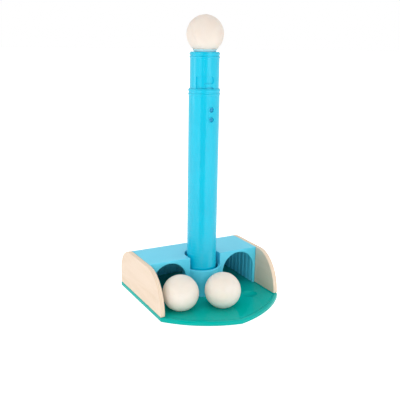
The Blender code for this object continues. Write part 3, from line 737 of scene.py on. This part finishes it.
def build_post():
    post = turned(post_profile())
    pegs = {name: middle("lock_peg_" + name).z for name in ("upper", "lower")}
    for height in pegs.values():
        combine(post, peg_boss(height), "UNION")
        combine(post, peg_hole(height))
    for peg, start, end in LOCK_MARKS:
        combine(post, raised_bar(start, end, pegs[peg]), "UNION")
    finish_piece(post, "post_moulding", TUBE_PLASTIC, "post", "post_tube")


def build_pegs():
    """Lock pegs: a base disc in the tube's wall and a domed pin that stands in its hole."""
    ease = 0.0003
    inner = POST_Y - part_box("lock_peg_upper")[1].y
    floor = inner + 0.0004
    tip = PEG_FACE - 0.0004
    profile = [(0.0, tip), (0.4 * PEG_PIN, tip - 0.3 * ease), (0.8 * PEG_PIN, tip - ease),
               (PEG_PIN, tip - 2.5 * ease), (PEG_PIN, floor + ease), (PEG_PIN + ease, floor),
               (PEG_RADIUS - ease, floor), (PEG_RADIUS, floor - ease),
               (PEG_RADIUS, inner + ease / 2.0), (PEG_RADIUS - ease / 2.0, inner), (0.0, inner)]
    for node in ("lock_peg_upper", "lock_peg_lower"):
        peg = round_pin(profile, middle(node).z)
        # painted shade: the pegs take a darker plastic that stands in for the shade down in their
        # holes
        finish_piece(peg, node + "_moulding", PEG_SHADED_PLASTIC, "post", node)


def build_plug():
    """The cap in the post's lower end, with a flange under the tube and eased edges."""
    low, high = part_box("post_plug")
    flange = middle_radius("post_plug")
    wall, ease = 0.0020, 0.0005
    skirt = POST_INNER - GAP
    bore = skirt - wall
    step = POST_LOW.z - GAP
    profile = [(0.0, low.z + wall), (bore - ease, low.z + wall), (bore, low.z + wall + ease),
               (bore, high.z), (skirt - ease, high.z), (skirt, high.z - ease), (skirt, step),
               (flange, step), (flange, low.z + ease), (flange - ease, low.z), (0.0, low.z)]
    plug = turned(profile, closed=False)
    finish_piece(plug, "post_plug_moulding", TUBE_PLASTIC, "post", "post_plug")


# ---- extension and cup

def comb_outline(inset):
    """The groove seen flat: a tall channel with rounded notches to its right."""
    left, right = [EXT_OUTER * math.radians(angle) for angle in CHANNEL_ANGLES]
    left, right = left + inset, right - inset
    end = EXT_OUTER * math.radians(NOTCH_END_ANGLE) - inset
    bottom = EXT_LOW.z - 0.002
    corners = [(left, bottom), (left, GROOVE_TOP_Z - inset, 0.0015)]
    tooth = NOTCH_PITCH - NOTCH_HEIGHT
    bend, tip = 0.45 * tooth, 0.42 * NOTCH_HEIGHT - inset
    for index in range(GROOVE_NOTCHES):
        top = GROOVE_TOP_Z - index * NOTCH_PITCH - inset
        foot = top - NOTCH_HEIGHT + 2.0 * inset
        if index > 0:
            corners.append((right, top, bend))
        corners += [(end, top, tip), (end, foot, tip), (right, foot, bend)]
    corners.append((right, bottom))
    return rounded(corners, steps=8)


def groove_cutter():
    """The comb with sloping sides, cut into narrow strips and wrapped round the tube."""
    sections = [(GROOVE_SLOPE, 0.0), (0.0, GROOVE_DEPTH), (0.0, 2.0 * GROOVE_DEPTH)]
    flat = loft([[(x, depth, z) for x, z in comb_outline(inset)] for inset, depth in sections])
    start, end = CHANNEL_ANGLES[0], NOTCH_END_ANGLE
    strips = int((end - start) / STRIP_ANGLE)
    with editing(flat.data) as shape:
        bmesh.ops.triangulate(shape, faces=shape.faces)
        for index in range(1, strips):
            across = EXT_OUTER * math.radians(start + (end - start) * index / strips)
            bmesh.ops.bisect_plane(shape, geom=[*shape.verts, *shape.edges, *shape.faces],
                                   plane_co=(across, 0.0, 0.0), plane_no=(1.0, 0.0, 0.0),
                                   dist=1e-7)
        for vertex in shape.verts:
            angle = vertex.co.x / EXT_OUTER
            radius = EXT_OUTER - GROOVE_DEPTH + vertex.co.y
            vertex.co = (radius * math.cos(angle), POST_Y + radius * math.sin(angle),
                         vertex.co.z)
        turn_outwards(shape)
    return flat


def build_extension():
    ease = 0.0012
    profile = arc((EXT_OUTER - ease, EXT_HIGH.z - ease), ease, ease, 90.0, 0.0, 6)
    for height in EXT_BEADS_Z:
        profile += bead(height, EXT_OUTER, middle_radius("extension_tube"), EXT_BEAD_HALF)
    ceiling = EXT_HIGH.z - EXT_FLANGE
    profile += [(EXT_OUTER, EXT_LOW.z + 0.0004), (EXT_OUTER - 0.0004, EXT_LOW.z),
                (EXT_INNER, EXT_LOW.z), (EXT_INNER, ceiling), (EXT_HOLE, ceiling),
                (EXT_HOLE, EXT_HIGH.z - 0.0002), (EXT_HOLE + 0.0002, EXT_HIGH.z)]
    extension = turned(profile)
    combine(extension, groove_cutter())
    finish_piece(extension, "extension_moulding", TUBE_PLASTIC, "extension", "extension_tube")


def build_cup():
    """A flared seat for the ball, with a stem that snaps through the extension's top."""
    lip = middle_radius("ball_cup")
    foot, stem, snap, bore, hole = 0.0206, 0.0171, 0.0184, 0.0145, 0.0120
    bottom = EXT_HIGH.z + CUP_GAP
    under = EXT_HIGH.z - EXT_FLANGE - GAP
    top, ease = CUP_HIGH.z, 0.0005
    profile = arc((lip - ease, top - ease), ease, ease, 90.0, -20.0, 6)
    profile += [(lip - 0.0008, top - 0.0014), (foot + 0.0004, bottom + 0.0008),
                (foot, bottom), (stem, bottom), (stem, under),
                (snap, under - 0.0006), (snap, under - 0.0020), (stem - 0.0006, CUP_LOW.z),
                (bore, CUP_LOW.z), (bore, under), (hole, under)]
    reach = lip - 2.0 * ease
    seat = BALL_RADIUS + CUP_GAP
    for step in range(17):
        radius = hole + (reach - hole) * step / 16.0
        profile.append((radius, TEE_BALL.z - math.sqrt(seat * seat - radius * radius)))
    cup = turned(profile)
    finish_piece(cup, "ball_cup_moulding", CUP_PLASTIC, "extension", "ball_cup")


# ---- balls

SKIN = 0.03472                  # radius of a ball between its seams
SEAM_SWING = 0.44               # shape of the seam curve
SEAM_STEPS = 4000
STITCH_COUNT = 104
STITCH_OUT = (0.0007, 0.0031)   # a stitch runs between these distances from the seam
STITCH_SLANT = 0.55
STITCH_HEIGHT = 0.00028
SEAM_DEPTH = 0.00022
SEAM_HALF = 0.0006
BAND = 0.0040                   # the mesh is finer within this distance of the seam


def seam_curve():
    """Points of a baseball's seam on the unit sphere."""
    t = np.linspace(0.0, 4.0 * math.pi, SEAM_STEPS, endpoint=False)
    height = (math.pi / 2.0 - SEAM_SWING) * np.cos(t)
    turn = t / 2.0 + SEAM_SWING * np.sin(2.0 * t)
    return np.stack([np.cos(height) * np.cos(turn), np.cos(height) * np.sin(turn),
                     np.sin(height)], axis=1)


def cube_sphere(cells=56):
    """A unit sphere of even quads."""
    mesh = bpy.data.meshes.new("part")
    with editing(mesh) as shape:
        bmesh.ops.create_cube(shape, size=2.0)
        bmesh.ops.subdivide_edges(shape, edges=shape.edges[:], cuts=cells - 1,
                                  use_grid_fill=True)
        for vertex in shape.verts:
            spread = Vector([math.tan(0.25 * math.pi * value) for value in vertex.co])
            vertex.co = spread.normalized()
    return add_object(mesh)


def stitch_relief(points, seam, tree):
    """How far each point of the ball's skin is raised by the stitches or sunk by the seam."""
    following = np.roll(seam, -1, axis=0)
    steps = np.linalg.norm(following - seam, axis=1) * SKIN
    along = np.concatenate([[0.0], np.cumsum(steps)])
    pitch = along[-1] / STITCH_COUNT
    nearest = np.array([tree.find(Vector(point))[1] for point in points])
    tangent = following[nearest] - seam[nearest]
    tangent /= np.linalg.norm(tangent, axis=1)[:, None]
    away = points - seam[nearest]
    forward = np.einsum("ij,ij->i", away, tangent) * SKIN
    sideways = np.cross(seam[nearest], tangent)
    offset = np.abs(np.einsum("ij,ij->i", away, sideways)) * SKIN
    phase = (along[nearest] + forward - STITCH_SLANT * offset) / pitch
    phase = np.abs(phase - np.round(phase))
    ridge = np.clip(1.0 - (phase / 0.30) ** 2, 0.0, 1.0)
    low, high = STITCH_OUT
    ease = 0.0005
    span = np.clip((offset - low) / ease + 0.5, 0.0, 1.0) * \
        np.clip((high - offset) / ease + 0.5, 0.0, 1.0)
    groove = np.clip(1.0 - (offset / SEAM_HALF) ** 2, 0.0, 1.0)
    pad = 0.25 * np.clip(1.0 - (offset / BAND) ** 2, 0.0, 1.0) ** 2
    return STITCH_HEIGHT * (0.75 * ridge * span + pad) - SEAM_DEPTH * groove


def seamed_ball():
    """The moulded ball about the origin: its skin with raised stitches on both sides of a seam."""
    seam = seam_curve()
    tree = KDTree(len(seam))
    for index, point in enumerate(seam):
        tree.insert(Vector(point), index)
    tree.balance()
    ball = cube_sphere()
    with editing(ball.data) as shape:
        near = {face for face in shape.faces
                if tree.find(face.calc_center_median().normalized())[2] < BAND / SKIN}
        edges = [edge for edge in shape.edges if not near.isdisjoint(edge.link_faces)]
        bmesh.ops.subdivide_edges(shape, edges=edges, cuts=3, use_grid_fill=True)
    points = np.empty(len(ball.data.vertices) * 3)
    ball.data.vertices.foreach_get("co", points)
    points = points.reshape(-1, 3)
    points /= np.linalg.norm(points, axis=1)[:, None]
    points *= (SKIN + stitch_relief(points, seam, tree))[:, None]
    ball.data.vertices.foreach_set("co", points.ravel())
    ball.data.update()
    return ball


def lobe_turn(facing, closed):
    """Rotation that points a lobe of the seam along facing, with its closed end towards closed."""
    facing = Vector(facing).normalized()
    closed = Vector(closed)
    closed = (closed - facing * closed.dot(facing)).normalized()
    return Matrix((facing, closed.cross(facing), closed)).transposed().to_4x4()


def vent_and_core():
    """The ball's hollow, with the small vent at its lowest point."""
    inner = BALL_RADIUS - BALL_WALL
    vent, below = 0.0012, -BALL_RADIUS - 0.002
    start = math.degrees(math.asin(vent / inner))
    profile = [(0.0, below), (vent, below)]
    profile += arc((0.0, 0.0), inner, inner, -90.0 + start, 90.0, 24)[:-1]
    profile.append((0.0, inner))
    return turned(profile, 48, False, (0.0, 0.0, 0.0))


def from_camera(across, up, towards):
    """A direction given as the camera sees it: to its right, to its top and towards it."""
    right, top, back = camera_axes()
    return right * across + top * up + back * towards


def build_balls():
    template = seamed_ball()
    lobes = {
        "tee_ball": ("ball_on_tee", (0.10, 0.0, 1.0), (0.48, -0.87, 0.0)),
        "stored_ball_center": ("ball_center", (0.0, 0.41, 0.91), (0.08, -1.0, 0.0)),
        "stored_ball_left": ("ball_left", (-0.08, 0.91, 0.42), (0.07, 0.0, 1.0)),
    }
    for node, (body, facing, closed) in lobes.items():
        ball = add_object(template.data.copy())
        ball.data.transform(lobe_turn(from_camera(*facing), from_camera(*closed)))
        combine(ball, vent_and_core())
        ball.data.transform(Matrix.Translation(middle(node)))
        # the tee ball takes a darker copy of the ball vinyl: painted shade that tones down the
        # stronger light it gets up high
        vinyl = TEE_BALL_SHADED_VINYL if node == "tee_ball" else BALL_VINYL
        finish_piece(ball, node + "_skin", vinyl, body, node, 60.0)
    bpy.data.objects.remove(template, do_unlink=True)


# ---- screws

def screw_profile(length, shank=0.0017, core=0.0013, head=0.0033, pitch=0.0010):
    """A pan-head screw that points up, with thread ridges, from its tip down."""
    tip = SCREW_HEAD + length
    profile = [(0.0, tip), (core * 0.5, tip - 0.0010)]
    turns = int((length - 0.0030) / pitch)
    for index in range(turns):
        height = tip - 0.0016 - index * pitch
        profile += [(core, height + 0.4 * pitch), (shank, height), (core, height - 0.4 * pitch)]
    profile += [(shank, SCREW_HEAD + 0.0006), (shank, SCREW_HEAD), (head, SCREW_HEAD)]
    profile += arc((head - 0.0012, 0.0012), 0.0012, 0.0012, 0.0, -90.0, 5)
    return profile + [(0.0, 0.0)]


def screw_mesh(length):
    screw = turned(screw_profile(length), 24, False, (0.0, 0.0, 0.0))
    arm, blade, depth = 0.0017, 0.0004, 0.0011
    for x, y in ((arm, blade), (blade, arm)):
        combine(screw, boxes(((-x, -y, -0.001), (x, y, depth))))
    return screw


def build_screws():
    """Cross-head screws: some up through the tray, the others outwards into the panels."""
    for node in nodes_of("housing_screw_", "panel_base_screw_", "panel_side_screw_"):
        low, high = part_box(node)
        place = middle(node)
        if node.startswith("panel_side"):
            screw = screw_mesh(high.x - low.x - SCREW_HEAD)
            side = math.copysign(1.0, place.x)
            start = low.x if side > 0.0 else high.x
            turn = Matrix.Rotation(side * math.pi / 2.0, 4, "Y")
            screw.data.transform(Matrix.Translation((start, place.y, place.z)) @ turn)
        else:
            screw = screw_mesh(high.z - low.z - SCREW_HEAD)
            screw.data.transform(Matrix.Translation((place.x, place.y, low.z)))
        finish_piece(screw, node + "_steel", SCREW_STEEL, "base", node, 40.0)


# ---- materials

def srgb(red, green, blue):
    """A linear colour from display values between 0 and 255."""
    linear = [value / 255.0 for value in (red, green, blue)]
    linear = [value / 12.92 if value <= 0.04045 else ((value + 0.055) / 1.055) ** 2.4
              for value in linear]
    return (*linear, 1.0)


def settle(node, values):
    """Sets a node's sockets, given by names in capitals, and its own settings, in lower case."""
    for key, value in values.items():
        if key[0].isupper():
            node.inputs[key.replace("_", " ")].default_value = value
        else:
            setattr(node, key, value)
    return node


class Nodes:
    """A node tree that is filled by name."""

    def __init__(self, owner):
        owner.use_nodes = True
        self.tree = owner.node_tree

    def node(self, kind, **values):
        return settle(self.tree.nodes.new("ShaderNode" + kind), values)

    def link(self, start, end):
        self.tree.links.new(start, end)


class Look(Nodes):
    """A Principled material and the few node set-ups that its pieces share."""

    def __init__(self, name, **sockets):
        self.material = bpy.data.materials.new(name)
        super().__init__(self.material)
        self.shader = settle(self.tree.nodes["Principled BSDF"], sockets)
        self.place = self.node("TexCoord").outputs["Object"]

    def stretched(self, scale):
        """The piece's own coordinates, scaled."""
        mapping = self.node("Mapping", Scale=scale)
        self.link(self.place, mapping.inputs["Vector"])
        return mapping.outputs["Vector"]

    def noise(self, scale, detail=3.0, vector=None, distortion=0.0, roughness=0.5):
        made = self.node("TexNoise", Scale=scale, Detail=detail, Distortion=distortion,
                         Roughness=roughness)
        self.link(vector or self.place, made.inputs["Vector"])
        return made.outputs["Fac"]

    def ramp(self, factor, *stops):
        """Display colours at positions from 0 to 1."""
        made = self.node("ValToRGB")
        elements = made.color_ramp.elements
        while len(elements) < len(stops):
            elements.new(0.5)
        for element, (position, colour) in zip(elements, stops):
            element.position = position
            element.color = srgb(*colour)
        self.link(factor, made.inputs["Fac"])
        return made.outputs["Color"]

    def spread(self, factor, low, high):
        """A factor between 0 and 1, mapped to the range from low to high."""
        made = self.node("MapRange", To_Min=low, To_Max=high)
        self.link(factor, made.inputs["Value"])
        return made.outputs["Result"]

    def bump(self, height, strength, distance, normal=None):
        made = self.node("Bump", Strength=strength, Distance=distance)
        self.link(height, made.inputs["Height"])
        if normal is not None:
            self.link(normal, made.inputs["Normal"])
        return made.outputs["Normal"]

    def surface(self, colour, roughness=None, normal=None):
        """Links what varies over the surface to the shader, and returns the material."""
        links = {"Base Color": colour, "Roughness": roughness, "Normal": normal}
        for socket, output in links.items():
            if output is not None:
                self.link(output, self.shader.inputs[socket])
        return self.material


def moulded_plastic(name, deep, pale, gloss, grain, **sockets):
    """Injection-moulded plastic: cloudy pigment, slow flow waves and a surface grain."""
    look = Look(name, **sockets)
    cloud = look.noise(14.0, 4.0, distortion=0.6)
    wear = look.noise(70.0, 6.0, roughness=0.65)
    flow = look.bump(look.noise(30.0, 2.0), 0.15, 0.00006)
    return look.surface(look.ramp(cloud, (0.30, deep), (0.72, pale)), look.spread(wear, *gloss),
                        look.bump(look.noise(2600.0, 2.0), grain, 0.00001, flow))


def plywood_face():
    """Birch veneer: long wavy grain along Y, darker streaks and short pores."""
    look = Look("plywood_face", Coat_Weight=0.12, Coat_Roughness=0.35)
    wavy = look.stretched((30.0, 2.6, 16.0))
    grain = look.noise(2.2, 7.0, wavy, distortion=1.4, roughness=0.62)
    tone = look.ramp(grain, (0.25, (224, 199, 171)), (0.45, (231, 209, 186)),
                     (0.62, (235, 214, 193)), (0.80, (226, 202, 176)))
    pores = look.noise(9.0, 5.0, look.stretched((140.0, 9.0, 140.0)), roughness=0.7)
    return look.surface(tone, look.spread(pores, 0.42, 0.62), look.bump(pores, 0.30, 0.00012))


def plywood_edge():
    """The panels' cut edges: thin plies across X under a sanded finish."""
    look = Look("plywood_edge")
    plies = look.node("TexWave", wave_type="BANDS", bands_direction="X", Scale=110.0,
                      Distortion=0.5, Detail=3.0, Detail_Scale=2.0)
    look.link(look.place, plies.inputs["Vector"])
    tone = look.ramp(plies.outputs["Fac"], (0.10, (226, 202, 175)), (0.45, (236, 214, 190)),
                     (0.90, (240, 219, 197)))
    fibres = look.noise(300.0, 6.0, look.stretched((6.0, 1.0, 1.0)), roughness=0.7)
    return look.surface(tone, look.spread(fibres, 0.50, 0.70), look.bump(fibres, 0.25, 0.00012))


def ball_vinyl(name, deep, pale):
    """Cream vinyl: warm mottling and a leather-like grain."""
    look = Look(name, Subsurface_Weight=0.18, Subsurface_Scale=0.004,
                Subsurface_Radius=(1.0, 0.6, 0.4))
    cloud = look.noise(32.0, 4.0, distortion=0.4)
    skin = look.node("TexVoronoi", Scale=900.0)
    look.link(look.place, skin.inputs["Vector"])
    return look.surface(look.ramp(cloud, (0.30, deep), (0.70, pale)),
                        look.spread(look.noise(120.0, 5.0), 0.42, 0.58),
                        look.bump(skin.outputs["Distance"], 0.12, 0.00010))


def rubber():
    look = Look("rubber")
    speck = look.noise(500.0, 6.0, roughness=0.7)
    return look.surface(look.ramp(speck, (0.35, (30, 30, 31)), (0.75, (52, 52, 54))),
                        look.spread(speck, 0.70, 0.90), look.bump(speck, 0.30, 0.00010))


def screw_steel():
    """Zinc-plated steel with turning marks."""
    look = Look("screw_steel", Metallic=1.0)
    lines = look.noise(6.0, 4.0, look.stretched((60.0, 60.0, 700.0)))
    return look.surface(look.ramp(lines, (0.30, (176, 178, 184)), (0.70, (214, 215, 218))),
                        look.spread(lines, 0.25, 0.45), look.bump(lines, 0.20, 0.00005))


TRAY_PLASTIC = moulded_plastic("tray_plastic", (0, 172, 161), (0, 180, 170),
                               (0.06, 0.10), 0.05, Specular_IOR_Level=0.12)
# The housing's base colour is its own light blue plus added red: painted sheen standing in for the
# pale gloss of its surface.
HOUSING_PLASTIC_WITH_SHEEN = moulded_plastic("housing_plastic_painted_sheen", (84, 211, 240), (94, 217, 245),
                                  (0.29, 0.37), 0.10, IOR=1.55)
# The pegs' deeper blue is painted shade, darkening them as the shade in their holes would.
PEG_SHADED_PLASTIC = moulded_plastic("peg_plastic_painted_shade", (0, 150, 196), (0, 160, 206),
                              (0.29, 0.36), 0.10, IOR=1.5)
CUP_PLASTIC = moulded_plastic("cup_plastic", (198, 231, 237), (208, 237, 242),
                              (0.40, 0.50), 0.10, IOR=1.46)
TUBE_PLASTIC = moulded_plastic("tube_plastic", (0, 189, 220), (0, 196, 226),
                               (0.16, 0.22), 0.10, IOR=1.5)
PLYWOOD_FACE = plywood_face()
PLYWOOD_EDGE = plywood_edge()
BALL_VINYL = ball_vinyl("ball_vinyl", (233, 222, 209), (240, 231, 220))
# A darker copy of the ball vinyl for the tee ball: painted shade against the stronger light at its
# height.
TEE_BALL_SHADED_VINYL = ball_vinyl("tee_ball_vinyl_painted_shade", (224, 211, 199), (231, 220, 209))
RUBBER = rubber()
SCREW_STEEL = screw_steel()


# ---- camera, light and floor

CAMERA_PLACE = Vector((-0.55595, -0.98411, 0.49624))
CAMERA_HEADING = 28.67          # degrees to the right of +Y
CAMERA_DIP = 14.565             # degrees below the horizon
CAMERA_ROLL = 0.929
CAMERA_LENS = 54.21             # millimetres, on a 36 mm sensor
FLAG_DISTANCE = 0.36            # from the post, towards the camera
FLAG_HEIGHT = 0.50
FLAG_LEFT = -23.0               # its edges, in degrees from the camera's direction
FLAG_RIGHT = 15.0
SOFTBOXES = (                   # name, angle, height, distance, size, power, seen in gloss
    ("left_softbox", 84.0, 0.65, 1.5, (0.5, 1.0), 2.2, True),
    ("left_front_softbox", 38.0, 1.10, 2.4, (1.1, 1.2), 7.5, True),
    ("right_front_softbox", -38.0, 0.95, 2.4, (1.2, 1.3), 10.0, True),
    ("fill_softbox", 0.0, 0.60, 2.6, (0.8, 0.6), 13.0, False),
    ("top_softbox", 0.0, 3.20, 0.5, (2.0, 2.0), 12.0, False),
)


def camera_axes():
    """The camera's right, up and backward directions."""
    heading, dip, roll = [math.radians(angle)
                          for angle in (CAMERA_HEADING, CAMERA_DIP, CAMERA_ROLL)]
    forward = Vector((math.sin(heading) * math.cos(dip), math.cos(heading) * math.cos(dip),
                      -math.sin(dip)))
    level = Vector((math.cos(heading), -math.sin(heading), 0.0))
    upright = level.cross(forward)
    right = level * math.cos(roll) + upright * math.sin(roll)
    top = upright * math.cos(roll) - level * math.sin(roll)
    return right, top, -forward


def add_camera():
    data = bpy.data.cameras.new("photo_camera")
    data.lens = CAMERA_LENS
    data.sensor_width = 36.0
    camera = add_object(data, "photo_camera")
    turn = Matrix(camera_axes()).transposed().to_4x4()
    camera.matrix_world = Matrix.Translation(CAMERA_PLACE) @ turn
    bpy.context.scene.camera = camera


def add_softbox(name, angle, height, distance, size, power, mirrored):
    """A large lamp aimed at the object, at an angle in degrees from the camera's side of it."""
    target = Vector((0.0, POST_Y, 0.12))
    heading = math.radians(CAMERA_HEADING + 180.0 + angle)
    place = Vector((target.x + distance * math.sin(heading),
                    target.y + distance * math.cos(heading), height))
    data = bpy.data.lights.new(name, "AREA")
    data.shape = "RECTANGLE"
    data.size, data.size_y = size
    data.energy = power
    lamp = add_object(data, name)
    lamp.location = place
    lamp.rotation_euler = (target - place).to_track_quat("-Z", "Y").to_euler()
    lamp.visible_glossy = mirrored


def add_flag():
    """A dark card towards the camera that only mirror-like surfaces show, as a narrow band."""
    look = Look("flag_cloth", Roughness=0.9, Specular_IOR_Level=0.0)
    cloth = look.surface(look.ramp(look.noise(40.0), (0.3, (6, 6, 6)), (0.7, (12, 12, 12))))
    right = camera_axes()[0]
    across = Vector((right.x, right.y, 0.0)).normalized()
    towards = Vector((across.y, -across.x, 0.0))
    foot = Vector((0.0, POST_Y, 0.001)) + towards * FLAG_DISTANCE
    corners = []
    for side, height in ((FLAG_LEFT, 0.0), (FLAG_RIGHT, 0.0), (FLAG_RIGHT, 1.0), (FLAG_LEFT, 1.0)):
        shift = FLAG_DISTANCE * math.tan(math.radians(side))
        corners.append(foot + across * shift + Vector((0.0, 0.0, height * FLAG_HEIGHT)))
    flag = add_mesh(corners, [(0, 1, 2, 3)], "flag")
    flag.data.materials.append(cloth)
    flag.visible_camera = False
    flag.visible_diffuse = False
    flag.visible_shadow = False


def add_world():
    """A white studio: bright behind the object, dimmer on the camera's side."""
    world = bpy.data.worlds.new("studio")
    studio = Nodes(world)
    background = settle(studio.tree.nodes["Background"], {"Color": (1.0, 1.0, 1.0, 1.0)})
    turn = studio.node("Mapping", vector_type="POINT",
                       Rotation=(0.0, 0.0, math.radians(CAMERA_HEADING)))
    split = studio.node("SeparateXYZ")
    fade = studio.node("MapRange", interpolation_type="SMOOTHSTEP", From_Min=-0.80,
                       From_Max=-0.20, To_Min=0.20, To_Max=0.84)
    seen = studio.node("Math", operation="MAXIMUM")
    studio.link(studio.node("TexCoord").outputs["Generated"], turn.inputs["Vector"])
    studio.link(turn.outputs["Vector"], split.inputs["Vector"])
    studio.link(split.outputs["Y"], fade.inputs["Value"])
    studio.link(fade.outputs["Result"], seen.inputs[0])
    studio.link(studio.node("LightPath").outputs["Is Camera Ray"], seen.inputs[1])
    studio.link(seen.outputs["Value"], background.inputs["Strength"])
    bpy.context.scene.world = world


def add_floor():
    """A pale floor far wider than the view."""
    look = Look("floor_white", Roughness=0.9, Emission_Color=(1.0, 1.0, 1.0, 1.0),
                Specular_IOR_Level=0.1)
    seen = look.node("LightPath").outputs["Is Camera Ray"]
    look.link(look.spread(seen, 0.25, 0.70), look.shader.inputs["Emission Strength"])
    paint = look.surface(look.ramp(look.noise(3.0), (0.3, (250,) * 3), (0.7, (254,) * 3)))
    far = 40.0
    floor = add_mesh([(-far, -far, 0.0), (far, -far, 0.0), (far, far, 0.0), (-far, far, 0.0)],
                     [(0, 1, 2, 3)], "floor")
    floor.data.materials.append(paint)


# ---- the whole scene

def build_batting_tee():
    build_tray()
    build_feet()
    build_housing()
    build_panel("left", -1.0)
    build_panel("right", 1.0)
    build_post()
    build_pegs()
    build_plug()
    build_extension()
    build_cup()
    build_balls()
    build_screws()


build_batting_tee()
add_camera()
add_world()
add_floor()
add_flag()
for softbox in SOFTBOXES:
    add_softbox(*softbox)
bpy.context.scene.view_settings.view_transform = "Standard"
